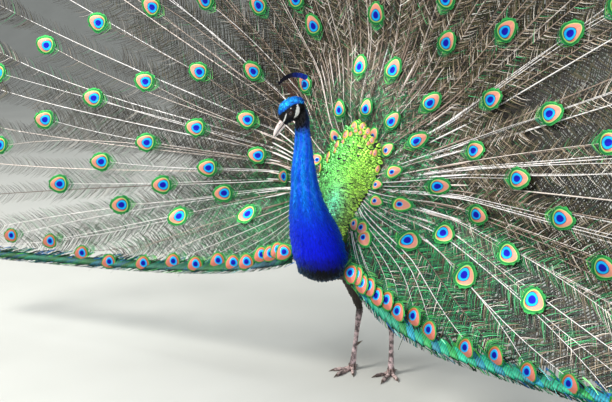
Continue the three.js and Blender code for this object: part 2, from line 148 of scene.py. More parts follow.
def circle(count):
    """Angles in even steps once round."""
    return np.arange(count) * 2 * np.pi / count


def lattice(rows, columns):
    """The share across and the share along of each point of a grid."""
    v, u = np.meshgrid(np.linspace(0, 1, rows), np.linspace(0, 1, columns), indexing="ij")
    return np.stack([u, v], -1)


def grid_faces(rows, columns, closed=False, count=1):
    """The quads of count grids whose points are counted row by row; closed joins last column and first."""
    index = np.arange(rows * columns).reshape(rows, columns)
    right = np.roll(index, -1, axis=1)
    if not closed:
        index, right = index[:, :-1], right[:, :-1]
    quads = np.stack([index[:-1], right[:-1], right[1:], index[1:]], -1).reshape(-1, 4)
    return quads[None] + (np.arange(count) * rows * columns)[:, None, None]


def close_ends(grid):
    """Rings (n, m, 3) with one more at each end, drawn together to the middle of the end ring."""
    first, last = (np.broadcast_to(ring.mean(0), ring.shape)[None] for ring in (grid[0], grid[-1]))
    return np.concatenate([first, grid, last])


# %% Pieces
def paint(mesh, tints):
    """Store one linear colour for each point of a mesh."""
    values = np.ones((len(mesh.vertices), 4), np.float32)
    values[:, :3] = np.asarray(tints, np.float32).reshape(-1, 3)
    mesh.color_attributes.new("tint", "FLOAT_COLOR", "POINT").data.foreach_set("color", values.ravel())


def make_piece(name, points, faces, uv=None, bake=None, tint=None):
    """One smooth mesh object from points in the bird's frame, quads, per-point UVs and per-point tints."""
    mesh = bpy.data.meshes.new(name)
    points = np.asarray(points, np.float32).reshape(-1, 3) + SHIFT.astype(np.float32)
    faces = np.asarray(faces, np.int32).reshape(-1, 4)
    mesh.vertices.add(len(points))
    mesh.vertices.foreach_set("co", points.ravel())
    mesh.loops.add(faces.size)
    mesh.loops.foreach_set("vertex_index", faces.ravel())
    mesh.polygons.add(len(faces))
    mesh.polygons.foreach_set("loop_start", np.arange(0, faces.size, 4, dtype=np.int32))
    mesh.polygons.foreach_set("use_smooth", np.ones(len(faces), bool))
    for layer, values in (("lie", uv), ("OFBake", bake)):
        if values is not None:
            values = np.asarray(values, np.float32).reshape(-1, 2)
            mesh.uv_layers.new(name=layer).data.foreach_set("uv", values[faces.ravel()].ravel())
    if tint is not None:
        paint(mesh, tint)
    mesh.update(calc_edges=True)
    mesh.validate()
    print(f"{name}: {len(points)} points, {2 * len(faces)} triangles")
    return place_object(name, mesh)


def finish_piece(piece, material, nodes=()):
    """Give a piece its material and its body, and hide the solids that it stands for."""
    piece.data.materials.append(material)
    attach(piece, "root")
    if nodes:
        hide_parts(*nodes)
    return piece


# %% Patches: many copies of one small grid
BAKE_PATCH = 0.003


def make_coat(name, patches, roots_uv, tints):
    """Join patches of shape (count, rows, columns, 3) into a piece, one tiny bake patch for each root."""
    count, rows, columns = patches.shape[:3]
    lie = lattice(rows, columns)
    bake = np.asarray(roots_uv)[:, None, None, :] + (lie - 0.5) * BAKE_PATCH
    if tints.ndim == 2:
        tints = tints[:, None, None]
    uv = np.broadcast_to(lie, (*patches.shape[:3], 2))
    faces = grid_faces(rows, columns, count=count)
    return make_piece(name, patches, faces, uv, bake, np.broadcast_to(tints, patches.shape))


def lay_vanes(roots, lie, normal, length, width, rows=4, columns=3, lift=0.12, cup=0.25, blunt=0.5):
    """Vanes that grow from roots along lie. A point at (along t, across s) stands at root + lie*length*t +
    side*width/2*outline(t)*s + normal*length*(lift*t + 0.02) - normal*width*cup*s*s*t."""
    lie, normal = (unit(way)[:, None, None] for way in (lie, normal))
    length, width, lift = (np.broadcast_to(v, len(roots))[:, None, None, None] for v in (length, width, lift))
    side = np.cross(lie, normal)
    t = np.linspace(0, 1, rows)[:, None, None]
    s = np.linspace(-1, 1, columns)[:, None]
    rounding = np.clip((t - blunt) / (1 - blunt), 0, 1)
    outline = (0.55 + 0.45 * np.minimum(1, t / 0.35)) * np.sqrt(1 - 0.97 * rounding**2)
    rise = normal * length * (lift * t + 0.02) - normal * width * cup * s * s * t
    return roots[:, None, None] + lie * length * t + side * width / 2 * outline * s + rise


# %% [markdown]
# ## Colour and material helpers
# Colours are written as the hex values that a screen shows, and one function turns them to linear light.
# One more function adds a node to a material, with its settings and links.

# %% Colours and nodes
def linear(value):
    """sRGB hex to linear red, green and blue."""
    channels = np.array([int(value[i:i + 2], 16) for i in (1, 3, 5)]) / 255
    return np.where(channels <= 0.04045, channels / 12.92, ((channels + 0.055) / 1.055) ** 2.4)


def rgba(value):
    """sRGB hex to a linear colour that covers fully."""
    return (*linear(value), 1.0)


def new_material(name, roughness, metallic=0.0, ior=1.5, coat=0.0):
    """A material with one Principled shader, and the function that adds nodes to it."""
    material = bpy.data.materials.new(name)
    material.use_nodes = True
    tree = material.node_tree

    def add(kind, *values, stops=(), **named):
        """Add a node and give its first output. Names in small letters are the node's settings, other names
        are inputs, values fill the inputs in order, and stops are a ramp's (position, hex). The Principled
        shader is there from the start, so it is only set."""
        shader = kind == "BsdfPrincipled"
        node = tree.nodes["Principled BSDF"] if shader else tree.nodes.new("ShaderNode" + kind)
        for key, value in [*named.items(), *enumerate(values)]:
            if isinstance(key, str) and key[0].islower():
                setattr(node, key, value)
                continue
            socket = node.inputs[key.replace("_", " ") if isinstance(key, str) else key]
            if isinstance(value, bpy.types.NodeSocket):
                tree.links.new(value, socket)
            else:
                socket.default_value = value
        for _ in stops[2:]:
            node.color_ramp.elements.new(0.5)
        for i, (position, colour) in enumerate(stops):
            node.color_ramp.elements[i].position = position
            node.color_ramp.elements[i].color = rgba(colour)
        return next(output for output in node.outputs if output.enabled)

    add("BsdfPrincipled", Roughness=roughness, Metallic=metallic, IOR=ior, Coat_Weight=coat)
    return material, add


def cover(add, tint, shade, bump, height, distance=0.3 * MM):
    """The surface's colour is tint times shade, and its relief is a bump of the given height."""
    colour = add("MixRGB", 1.0, tint, shade, blend_type="MULTIPLY")
    relief = add("Bump", Strength=bump, Distance=distance, Height=height)
    add("BsdfPrincipled", Base_Color=colour, Normal=relief)


def barb_lines(add, lean, rate):
    """Barbs slant from the middle line to the edge, so the lines are sin(rate*(along - lean*off)), where
    off is the distance from the middle line. Gives the signed distance, off, along and the lines."""
    across, along = add("SeparateXYZ", add("UVMap", uv_map="lie")).node.outputs[:2]
    centred = add("Math", across, 0.5, operation="SUBTRACT")
    off = add("Math", centred, operation="ABSOLUTE")
    slant = add("Math", off, -lean, along, operation="MULTIPLY_ADD")
    wave = add("Math", slant, rate, operation="MULTIPLY")
    return centred, off, along, add("Math", wave, operation="SINE")


def feather_material(name, roughness, metallic, edge=0.55, barb_mm=0.6, bump=0.4, tip=0.0, **finish):
    """Feather: tint from the patch, darker by edge towards its rim and by tip towards its end, with barb
    lines barb_mm apart on a patch of 6 mm."""
    material, add = new_material(name, roughness, metallic, ior=1.55)
    add("BsdfPrincipled", **finish)
    _, off, along, lines = barb_lines(add, 1, 12 * math.pi / barb_mm)
    rim = add("Math", off, -2 * edge, 1.0, operation="MULTIPLY_ADD")
    shade = add("Math", lines, 0.08, rim, operation="MULTIPLY_ADD")
    if tip:
        shade = add("Math", add("Math", along, 4.0, operation="POWER"), -tip, shade, operation="MULTIPLY_ADD")
    cover(add, add("VertexColor", layer_name="tint"), shade, bump, lines)
    return material


def horn_material(name, roughness, ior, grain, contrast, bump, pebbles=0.0, coat=0.0, distance=0.3 * MM):
    """Horn or bare skin: the painted tint times patches of noise, whose (scale, detail) is grain and whose
    range of values and of shades is contrast; relief from pebbles at a scale, or from the same patches."""
    material, add = new_material(name, roughness, ior=ior, coat=coat)
    place = add("TexCoord").node.outputs["Object"]
    patches = add("TexNoise", Vector=place, Scale=grain[0], Detail=grain[1])
    height = add("TexVoronoi", Vector=place, Scale=pebbles) if pebbles else patches
    shade = add("MapRange", patches, *contrast)
    cover(add, add("VertexColor", layer_name="tint"), shade, bump, height, distance)
    return material


# %% Tints with chance in them
rng = np.random.default_rng(7)


def jitter(tints, spread):
    """Each row of tints made a little lighter or darker."""
    return np.clip(tints * (1 + spread * rng.standard_normal((len(tints), 1))), 0, 1)


def weight_table(weights):
    """Weights given as numbers or arrays, one for each colour, as the columns of one table."""
    return np.stack(np.broadcast_arrays(*weights), 1)


def vary(hexes, weights, spread=0.12):
    """Blends of the hex colours by their weights, then jittered."""
    weights = weight_table(weights)
    return jitter(weights / weights.sum(1, keepdims=True) @ [linear(value) for value in hexes], spread)


def pick(hexes, weights, spread=0.12):
    """One of the hex colours for each row of weights, chosen by them, then jittered."""
    steps = np.cumsum(weight_table(weights), 1)
    index = (rng.random((len(steps), 1)) * steps[:, -1:] > steps).sum(1)
    return jitter(np.array([linear(value) for value in hexes])[index], spread)


# %% [markdown]
# ## The forms under the coat
# A bird's flesh is a few rounded forms run together: skull, neck and breast, trunk, thighs, rump.
# Each could be sculpted, but here each is a stack of oval rings read from a short table, so the same
# function gives the skin and the roots of the feathers that grow on it.

# %% Smooth tables and oval forms
def spline(table, at):
    """Columns of a table read between its stations on cubic Hermite curves, whose slope at a station is
    the mean slope on its two sides."""
    x, values = table[:, 0], table[:, 1:]
    slope = np.gradient(values, x, axis=0)
    at = np.asarray(at, float)
    i = np.clip(np.searchsorted(x, at, side="right") - 1, 0, len(x) - 2)
    width = (x[i + 1] - x[i])[..., None]
    t = np.clip((at - x[i])[..., None] / width, 0, 1)
    start = (2 * t**3 - 3 * t**2 + 1) * values[i] + (t**3 - 2 * t**2 + t) * width * slope[i]
    end = (3 * t**2 - 2 * t**3) * values[i + 1] + (t**3 - t**2) * width * slope[i + 1]
    return start + end


def form(rows, across, up, place=lambda points: points):
    """A form of oval rings from rows of (along, centre x, y, z, half across, half up), in millimetres."""
    table = np.array(rows, float) * MM
    return {"table": table, "across": np.array(across, float), "up": np.array(up, float), "place": place,
            "start": table[0, 0], "end": table[-1, 0]}


def on_form(shape, along, angle, inset=0.0):
    """centre(along) + across*(half_a - inset)*cos(angle) + up*(half_b - inset)*sin(angle)."""
    row = spline(shape["table"], along)
    half_a = np.maximum(row[..., 3:4] - inset, 0.2 * MM) * np.cos(angle)[..., None]
    half_b = np.maximum(row[..., 4:5] - inset, 0.2 * MM) * np.sin(angle)[..., None]
    return shape["place"](row[..., :3] + shape["across"] * half_a + shape["up"] * half_b)


# Rows in millimetres. Trunk: y, low z, high z, half width. Neck: z, y, radius. Skull: x, z, half width, half
# height. Mantle: z, y, half width, fall of its sides. Thigh: share from heel to hip, radius. Wing: x, y, z,
# half height, half thickness.
TRUNK = [(-150, 266, 336, 46), (-110, 250, 378, 66), (-70, 241, 444, 77), (-30, 240, 500, 82),
         (10, 256, 542, 81), (50, 284, 558, 72), (86, 322, 522, 54), (110, 362, 476, 32), (121, 401, 437, 10)]
NECK = [(273, -168, 23), (280, -168, 38), (292, -170, 50), (314, -174, 57), (350, -186, 57.5),
        (385, -199, 53.5), (421, -215, 45), (455, -227, 37), (488, -233.5, 31), (521, -238, 27.5),
        (550, -239.5, 23.5), (576, -240, 20.5), (600, -242, 18.2), (620, -243, 17.5), (634, -244, 16.5),
        (647, -246, 13.5), (658, -249, 10), (668, -252, 6)]
SKULL = [(-36, -2, 6, 8), (-31, -1, 11, 14), (-20, 1, 15, 19.5), (-6, 3, 16.5, 22), (4, 3.5, 15.8, 21),
         (13, 2, 12.8, 17), (20, -1, 10, 12.5), (25, -4, 8, 9.5)]
MANTLE = np.array([(345, -161, 31, 16), (386, -147, 41, 22), (427, -132, 52, 27), (468, -111, 69, 30),
                   (496, -95, 76, 30), (520, -79, 76, 29), (540, -65, 68, 24), (560, -51, 54, 16),
                   (580, -38, 34, 8), (594, -31, 14, 3)]) * MM
MANTLE_Z, MANTLE_Y, MANTLE_HALF, MANTLE_FALL = MANTLE.T
THIGH = [(0, 9), (0.1, 13), (0.35, 23), (0.6, 33), (0.85, 39), (1, 34)]
WING = [(84, 0, 356, 26, 10), (90, 32, 344, 54, 18), (99, 90, 314, 70, 18), (108, 160, 268, 60, 13),
        (115, 224, 218, 38, 8), (119, 272, 178, 12, 3)]
UNDERTAIL_AT = np.array([0, 116, 326]) * MM
UNDERTAIL_RADII = np.array([62, 70, 72]) * MM
LEGS = {"left": {"side": 1, "hub": (57, 37, 0), "heel": (46, 56, 146), "toes_turn": -13},
        "right": {"side": -1, "hub": (-36, 12, 0), "heel": (-33, 38, 146), "toes_turn": 2}}


def thigh_rows(leg):
    """Rings round the line from heel to hip, kept by their height."""
    heel = np.array(leg["heel"], float)
    hip = np.array([40 * leg["side"], -16, 300])
    centres = [heel + (hip - heel) * share for share, _ in THIGH]
    return [(c[2], *c, radius * 0.86, radius) for c, (_, radius) in zip(centres, THIGH)]


def ball_rows(count=15):
    """Level rings of the ball under the tail: half widths shrink by sqrt(1 - t^2) at the height t."""
    (_, y, z), (wide, deep, tall) = UNDERTAIL_AT / MM, UNDERTAIL_RADII / MM
    levels = [(t, math.sqrt(1 - t * t)) for t in np.sin(np.linspace(-1.5, 1.5, count))]
    return [(t * tall, 0, y, z + t * tall, wide * level, deep * level) for t, level in levels]


X, Y, Z = np.eye(3)
FORMS = {
    "trunk": form([(y, 0, y, (low + top) / 2, half, (top - low) / 2) for y, low, top, half in TRUNK], X, Z),
    "neck": form([(z, 0, y, z, r, r) for z, y, r in NECK], X, Y),
    "skull": form([(x, x, 0, z, a, b) for x, z, a, b in SKULL], Y, Z, head_to_bird),
    "undertail": form(ball_rows(), X, Y),
}
for name, leg in LEGS.items():
    side = leg["side"]
    FORMS["thigh_" + name] = form(thigh_rows(leg), X, Y)
    FORMS["wing_" + name] = form([(y, side * x, y, z, thick, deep) for x, y, z, deep, thick in WING],
                                 side * X, unit(0.45 * Y + 0.9 * Z))
print("forms:", ", ".join(FORMS))


# %% [markdown]
# ## Skin
# The skin is one sheet over all the flesh. Shrunk copies of the forms overlap, and a voxel remesh melts
# them into one closed surface, which a smoothing pass fillets where neck meets breast and thigh meets belly.
# It lies deeper than the solids by the thickness of the coat.

# %% Closed stacks of rings for the skin
COAT_DEPTH = {"trunk": 0.008, "neck": 0.0022, "skull": 0.001, "undertail": 0.014, "thigh_left": 0.005,
              "thigh_right": 0.005, "wing_left": 0.005, "wing_right": 0.005}


def form_shell(shape, inset, rings=48, sides=48):
    """A closed stack of rings, deeper than the form by inset."""
    along = np.linspace(shape["start"] + inset, shape["end"] - inset, rings)
    return close_ends(on_form(shape, *np.meshgrid(along, circle(sides), indexing="ij"), inset=inset))


def mantle_front(height, across, out=0.0):
    """Front of the mantle: x = across*half width, y = front + fall*across^2, pushed forward by out."""
    front, half, fall = np.moveaxis(spline(MANTLE, height), -1, 0)
    return np.stack(np.broadcast_arrays(across * half, front + fall * across**2 - out, height), -1)


def mantle_shell(inset=0.006, rings=40, sides=24):
    """The mantle as a flat pad: its front, and the same curve set back by its thickness."""
    height = np.linspace(MANTLE_Z[0] + inset, MANTLE_Z[-1] - inset, rings)
    across = np.linspace(-0.94, 0.94, sides)
    front = mantle_front(*np.meshgrid(height, across, indexing="ij"), out=-inset)
    back = front + Y * (0.003 + 0.040 * np.sqrt(1 - across**4))[None, :, None]
    return close_ends(np.concatenate([front, back[:, ::-1]], 1))


shells = [form_shell(FORMS[name], depth) for name, depth in COAT_DEPTH.items()] + [mantle_shell()]
starts = np.cumsum([0] + [shell.size // 3 for shell in shells])
faces = [grid_faces(*shell.shape[:2], closed=True)[0] + start for shell, start in zip(shells, starts)]
skin = make_piece("skin", np.concatenate([shell.reshape(-1, 3) for shell in shells]), np.concatenate(faces))

# %% Melt the shells into one surface
SKIN_VOXEL = 0.0028
remesh = skin.modifiers.new("remesh", "REMESH")
remesh.mode = "VOXEL"
remesh.voxel_size = SKIN_VOXEL
remesh.use_smooth_shade = True
fillet = skin.modifiers.new("fillet", "SMOOTH")
fillet.factor = 0.5
fillet.iterations = 6
melted = bpy.data.meshes.new_from_object(skin.evaluated_get(bpy.context.evaluated_depsgraph_get()))
skin.modifiers.clear()
rough, skin.data = skin.data, melted
bpy.data.meshes.remove(rough)
print("skin:", len(skin.data.vertices), "points")

# %% [markdown]
# ## Face
# A peacock's face is bare: a white stripe runs from the bill over the eye, and a white crescent lies below
# and behind it, with black velvet between. The eye sits in a ring of lids. Those folds are too fine for the
# body's mesh, so the faces of the head are divided again, and their points are moved by a few soft bumps.

# %% Places on the head
LID_HALF = (5.4 * MM, 4.8 * MM)
# Bare white patches of each side of the head, as lines of (x, z, half width) in millimetres.
STRIPE = [(7.2, 7.0, 0.5), (10.5, 5.2, 1.1), (16.3, 1.6, 1.3), (21.0, -0.8, 1.4), (25.5, -2.6, 1.2)]
CRESCENT = [(-23.0, 6.0, 0.5), (-21.0, 2.5, 2.3), (-16.6, -3.8, 4.4), (-10.4, -10.2, 5.0), (-2.5, -14.6, 4.6),
            (5.5, -17.0, 3.8), (12.0, -18.0, 2.6), (17.0, -18.0, 1.0)]
BROW_DOT = [(-7.2, 7.7, 0.9), (-6.4, 7.7, 0.9)]


def eye_ring(head):
    """Distance from the nearer eye's middle, seen from the side: 1 is the lid's inner edge."""
    height = head[:, 2] - EYE_AT[2] - 0.08 * head[:, 0]
    return np.hypot(head[:, 0] / LID_HALF[0], height / LID_HALF[1])


def near_line(x, z, line):
    """How far a place lies from a bent line, less the line's half width there: the least over its parts."""
    best = np.full(x.shape, 99.0)
    for (x0, z0, half0), (x1, z1, half1) in zip(line[:-1], line[1:]):
        run, rise = x1 - x0, z1 - z0
        t = np.clip(((x - x0) * run + (z - z0) * rise) / (run**2 + rise**2), 0, 1)
        away = np.hypot(x - x0 - t * run, z - z0 - t * rise)
        best = np.minimum(best, away - half0 - t * (half1 - half0))
    return best


def bare_white(head):
    """How far bare white skin covers a point: a stripe over the lores, a dot on the brow and a crescent."""
    x, y, z = head.T / MM
    away = np.minimum.reduce([near_line(x, z, line) for line in (STRIPE, CRESCENT, BROW_DOT)])
    return smooth(away, 0.35, -0.35) * smooth(np.abs(y), 4, 7)


def crown_share(head):
    """1 on the crown, 0 on the face and throat."""
    edge = np.interp(head[:, 0] / MM, [-29, -24.5, -16, -2, 12, 24], [-11, 1, 8.6, 12.7, 14.2, 11.6])
    return smooth(head[:, 2] / MM - edge, -1.2, 1.6)


def sculpt_face(points):
    """Moves of the skin near the eyes: a hollow behind the eyeball, and lids that lie on the ball as rings,
    each a bump exp(-((ring - middle)/width)^2)."""
    head = bird_to_head(points)
    depth = np.abs(head[:, 1])
    ring = eye_ring(head)
    from_eye = np.hypot(head[:, 0] - EYE_AT[0], head[:, 2] - EYE_AT[2])
    ball = EYE_AT[1] + np.sqrt(np.maximum(EYE_RADIUS**2 - from_eye**2, 0))
    on_ball = smooth(ring, 1.75, 1.2)
    target = depth * (1 - on_ball) + np.maximum(depth, ball + 0.15 * MM) * on_ball
    for height, middle, width in ((0.75, 1.16, 0.13), (-0.4, 1.5, 0.12), (0.35, 1.78, 0.16)):
        target = target + height * MM * np.exp(-((ring - middle) / width) ** 2)
    hole = smooth(ring, 1.02, 0.9)
    target = target * (1 - hole) + 7.5 * MM * hole
    head[:, 1] = np.where((depth > 6 * MM) & (ring < 3), np.sign(head[:, 1]) * target, head[:, 1])
    return head_to_bird(head)


# %% Divide the face and shape it
FACE_REACH = 0.034


def mesh_points(piece):
    """A mesh's points as an array in the bird's frame."""
    points = np.empty(3 * len(piece.data.vertices), np.float32)
    piece.data.vertices.foreach_get("co", points)
    return points.reshape(-1, 3).astype(float) - SHIFT


def near_face(head):
    """True within reach of the middle of the head."""
    return np.linalg.norm(head - 2 * MM * X, axis=1) < FACE_REACH


def near_eye(head):
    """True round an eye's opening, on the skin at the head's side."""
    depth = np.abs(head[:, 1])
    return (np.hypot(head[:, 0], head[:, 2] - EYE_AT[2]) < 13 * MM) & (depth > 6 * MM) & (depth < 30 * MM)


for near in (near_face, near_eye):
    chosen = near(bird_to_head(mesh_points(skin)))
    work = bmesh.new()
    work.from_mesh(skin.data)
    work.verts.ensure_lookup_table()
    edges = [edge for edge in work.edges if all(chosen[vertex.index] for vertex in edge.verts)]
    bmesh.ops.subdivide_edges(work, edges=edges, cuts=1, use_grid_fill=True)
    work.to_mesh(skin.data)
    work.free()
points = mesh_points(skin)
on_head = np.linalg.norm(bird_to_head(points), axis=1) < FACE_REACH
points[on_head] = sculpt_face(points[on_head])
skin.data.vertices.foreach_set("co", (points + SHIFT).astype(np.float32).ravel())
skin.data.update()
print("skin with its face:", len(skin.data.polygons), "faces")


# %% [markdown]
# ## Markings
# Skin and feathers carry the same markings, so both take their tint from one function of place:
# electric blue on the neck, deeper on the breast, black on the belly, olive brown on the thighs. It also
# paints azure sheen down the front of the neck, and shade near black under the head and down the back of the
# neck.

# %% Tints of skin and coat
TINTS = {name: linear(value) for name, value in {
    "crown": "#0090ff", "nape": "#0560e0", "neck": "#0046ff", "azure_sheen": "#008cff", "breast": "#0018ff",
    "low_breast": "#0208a0", "dark": "#02031a", "belly": "#030206", "flank": "#0b1a16", "thigh": "#2c2214",
    "down": "#5a5044", "face": "#040408", "bare": "#fcfcf4", "mantle": "#3f7420", "wing": "#3a2a1c"}.items()}


def blend(colour, layers):
    """Lay tints over a colour in turn: each (tint, share) covers its share of what lies below."""
    for tint, share in layers:
        over = TINTS[tint] if isinstance(tint, str) else tint
        colour = colour * (1 - share[:, None]) + over * share[:, None]
    return colour


def coat_tint(points):
    """Linear colour of the coat at each place on the body."""
    points = np.asarray(points, float).reshape(-1, 3)
    x, y, z = points.T
    head = bird_to_head(points)
    neck_z, neck_y, _ = np.array(NECK).T * MM
    turn = np.arctan2(x, -(y - np.interp(z, neck_z, neck_y)))
    streak = 0.5 + 0.5 * np.sin(9 * turn + 1.5 * np.sin(17 * z) + 2.0)
    nape = smooth(np.cos(turn), 0.3, -0.7)
    flank = blend(TINTS["belly"], [("flank", smooth(z, 0.27, 0.36))])
    below = np.linalg.norm((points - UNDERTAIL_AT) / UNDERTAIL_RADII, axis=1)
    layers = [("low_breast", smooth(z, 0.306, 0.326)), ("breast", smooth(z, 0.322, 0.355)),
              ("neck", smooth(z, 0.35, 0.47)),
              # Azure streaks down the front of the neck: painted sheen, laid in a streaked pattern.
              ("azure_sheen", smooth(z, 0.40, 0.50) * (0.25 + 0.75 * streak) * smooth(np.abs(turn), 2.6, 0.7)),
              # Near black at the top of the neck under the head, and lower at its back: painted shade.
              ("dark", 0.95 * np.maximum(smooth(z, 0.594, 0.618), smooth(z, 0.570, 0.612) * nape)),
              ("nape", 0.8 * smooth(z, 0.598, 0.622) * smooth(np.cos(turn), -0.2, -0.8)),
              (flank, smooth(y, -0.148, -0.128)), ("down", smooth(below, 1.12, 1.0))]
    for leg in LEGS.values():
        heel = np.array(leg["heel"]) * MM
        reach = np.hypot(x - heel[0], y - heel[1] + (z - heel[2]) * 0.45)
        layers.append(("thigh", smooth(z, 0.292, 0.262) * smooth(reach, 0.06, 0.045)))
    behind = y - np.interp(z, MANTLE_Z, MANTLE_Y)
    shield = smooth(behind, -0.015, -0.005) * smooth(behind, 0.07, 0.05) * smooth(z, 0.335, 0.36)
    crown = crown_share(head)
    face = blend(TINTS["face"], [
        ("crown", crown), ("nape", smooth(head[:, 0], -0.024, -0.034) * crown),
        ("nape", 0.75 * crown * (1 - crown_share(head - 3.5 * MM * Z))), ("bare", bare_white(head))])
    layers += [("mantle", shield * smooth(np.abs(x), 0.09, 0.08) * smooth(y, -0.15, -0.14)),
               ("wing", smooth(np.abs(x), 0.086, 0.092) * smooth(z, 0.42, 0.40) * smooth(y, -0.02, 0.0)),
               (face, smooth(np.linalg.norm(head * [1, 1, 0.9], axis=1), 0.040, 0.030))]
    return blend(TINTS["belly"], layers)


paint(skin.data, coat_tint(mesh_points(skin)))


# %% [markdown]
# ## Skin's finish
# Bare bird skin is soft keratin, matt and finely pebbled. Under feathers it only has to be dark and close
# to their colour, so the painted tint does both, and a fine cell pattern pebbles it.

# %% Skin material
# Bare facial skin: soft keratin, matt, tint from the markings, pebbles of about 0.7 mm.
bare_skin = horn_material("bare_pebbled_skin", 0.62, ior=1.45, grain=(260.0, 4.0),
                          contrast=(0.3, 0.7, 0.78, 1.08), bump=0.5, pebbles=1400.0, distance=0.4 * MM)
finish_piece(skin, bare_skin, ("head", "neck_upper", "neck_lower", "breast", "trunk", "undertail",
                                       "thigh_left", "thigh_right"))


# %% [markdown]
# ## Roots of the feathers
# Feathers grow in staggered rows, each row's gaps covered by the next. Rows are laid round each form at
# even steps of its surface, and every second row is turned by half a step.

# %% Rows of roots on a form
def rows_on_form(shape, spacing, step, inset, keep, stray=0.18):
    """Roots, outward normals, the way the form runs and the shares of angle and length, for staggered rows
    step apart with roots spacing apart in them, moved by chance up to stray steps. Only roots where
    keep(roots, shares) is true are given."""
    start, end = shape["start"] + MM, shape["end"] - MM
    fine = np.linspace(start, end, 300)
    lengths = []
    for side in (0, 1.57, 3.14, 4.71):
        line = on_form(shape, fine, np.full(len(fine), side), inset)
        lengths.append(np.append(0, np.cumsum(np.linalg.norm(np.diff(line, axis=0), axis=1))))
    length = np.mean(lengths, 0)
    along, angle = [], []
    for i, level in enumerate(np.interp(np.arange(step / 2, length[-1], step), length, fine)):
        half_a, half_b = spline(shape["table"], np.array([level]))[0, 3:]
        count = max(4, int(2 * math.pi * math.sqrt((half_a**2 + half_b**2) / 2) / spacing))
        turned = np.arange(count) + 0.5 * (i % 2) + stray * rng.uniform(-1, 1, count)
        angle.append(turned * 2 * np.pi / count)
        along.append(level + stray * rng.uniform(-1, 1, count) * step * (end - start) / length[-1])
    along, angle = np.clip(np.concatenate(along), start, end), np.concatenate(angle)
    small = 0.4 * MM
    here = on_form(shape, along, angle, inset)
    farther = on_form(shape, np.clip(along + small, start, end + small), angle, inset)
    ahead = farther - on_form(shape, along - small, angle, inset)
    round_ = on_form(shape, along, angle + 0.01, inset) - on_form(shape, along, angle - 0.01, inset)
    normal = unit(np.cross(ahead, round_))
    middle = shape["place"](spline(shape["table"], along)[:, :3])
    normal *= np.sign(np.sum(normal * (here - middle), 1))[:, None]
    shares = np.stack([(angle / (2 * np.pi)) % 1, (along - start) / (end - start)], 1)
    kept = keep(here, shares)
    return [values[kept] for values in (here, normal, unit(ahead), shares)]


def inside(name, points, margin):
    """True for points deeper than margin inside the trunk or neck, whose rings lie across y or z."""
    shape = FORMS[name]
    level = points[:, 1 if name == "trunk" else 2]
    row = spline(shape["table"], np.clip(level, shape["start"], shape["end"]))
    a = ((points - row[:, :3]) @ shape["across"]) / np.maximum(row[:, 3] - margin, 0.1 * MM)
    b = ((points - row[:, :3]) @ shape["up"]) / np.maximum(row[:, 4] - margin, 0.1 * MM)
    return (a * a + b * b < 1) & (level > shape["start"]) & (level < shape["end"])


def inside_skull(points, margin=0.001):
    """True for points deeper than margin inside the skull: (y/w)^2 + ((z - middle)/h)^2 < 1."""
    x, y, z = bird_to_head(points).T
    at, middle, half_y, half_z = np.array(SKULL).T * MM
    middle, half_y, half_z = (np.interp(x, at, values) for values in (middle, half_y, half_z))
    reach = (y / (half_y - margin)) ** 2 + ((z - middle) / (half_z - margin)) ** 2
    return (reach < 1) & (x > at[0]) & (x < at[-1])


def root_uv(shares):
    """Places on the bake map for roots, from their shares, a little in from its edges."""
    return shares * 0.94 + 0.03


# %% [markdown]
# ## Blue feathers of neck and breast
# The neck's feathers are small and narrow, like blue fur, and grow broader down to the breast. Their colour
# is no dye: thin layers in the barbules reflect blue, so they shine like lacquered metal. Each is a thin
# curved vane of a few faces, and thousands of them are made as one array.

# %% Coat of neck and breast
# Iridescent barbules: metallic blue with barb lines 0.7 mm apart, and a soft sheen of pale blue.
blue_feather = feather_material("neck_feather_iridescent_barbules", 0.40, 0.80, edge=0.36, barb_mm=0.7,
                                bump=0.35, Sheen_Weight=0.25, Sheen_Tint=rgba("#2fb4ff"), Sheen_Roughness=0.4)
roots, normal, ahead, shares = rows_on_form(
    FORMS["neck"], spacing=0.0037, step=0.0032, inset=COAT_DEPTH["neck"] + 0.0006,
    keep=lambda roots, shares: ~inside("trunk", roots, 0.010) & ~inside_skull(roots))
size = np.interp(roots[:, 2], [0.27, 0.36, 0.46, 0.56, 0.64], [0.018, 0.016, 0.0115, 0.0082, 0.0058])
lie = unit(-ahead + 0.10 * rng.standard_normal(roots.shape))
vanes = lay_vanes(roots, lie, normal, size, size * 0.55, lift=rng.uniform(0.03, 0.11, len(roots)), cup=0.22)
neck_coat = make_coat("neck_coat", vanes, root_uv(shares), jitter(coat_tint(roots), 0.11))
finish_piece(neck_coat, blue_feather)


# %% [markdown]
# ## Head feathers
# Crown and cheeks wear the smallest feathers of the bird, stiff blue scales on the crown and black velvet on
# the face, and none on the bare white skin.

# %% Coat of the head
def feathered_head(roots, shares):
    """True where feathers grow: off the white skin, the eye's ring and the bill's base, outside the neck."""
    head = bird_to_head(roots)
    off_eye = (eye_ring(head) > 2.05) | (np.abs(head[:, 1]) < 0.006)
    return (bare_white(head) < 0.35) & off_eye & (head[:, 0] < 0.0245) & ~inside("neck", roots, 0.006)


roots, normal, ahead, shares = rows_on_form(FORMS["skull"], spacing=0.0017, step=0.0015,
                                            inset=COAT_DEPTH["skull"], keep=feathered_head, stray=0.25)
head = bird_to_head(roots)
x, y, z = head.T
throat = smooth(z, -0.010, -0.016) * smooth(x, 0.018, 0.010) * smooth(x, -0.024, -0.014)
size = 0.0026 + 0.0030 * smooth(-x, 0.0, 0.03) + 0.0020 * crown_share(head) + 0.0060 * throat
lie = unit(-ahead + 0.16 * rng.standard_normal(roots.shape))
vanes = lay_vanes(roots, lie, normal, size, size * 0.62, rows=3,
                  lift=rng.uniform(0.03, 0.16, len(roots)) + 0.35 * throat, cup=0.2)
sparkle = 0.14 + 0.36 * crown_share(head)[:, None]
tints = coat_tint(roots) * np.exp(sparkle * rng.standard_normal((len(roots), 1)))
head_coat = make_coat("head_coat", vanes, root_uv(shares), np.clip(tints, 0, 1))
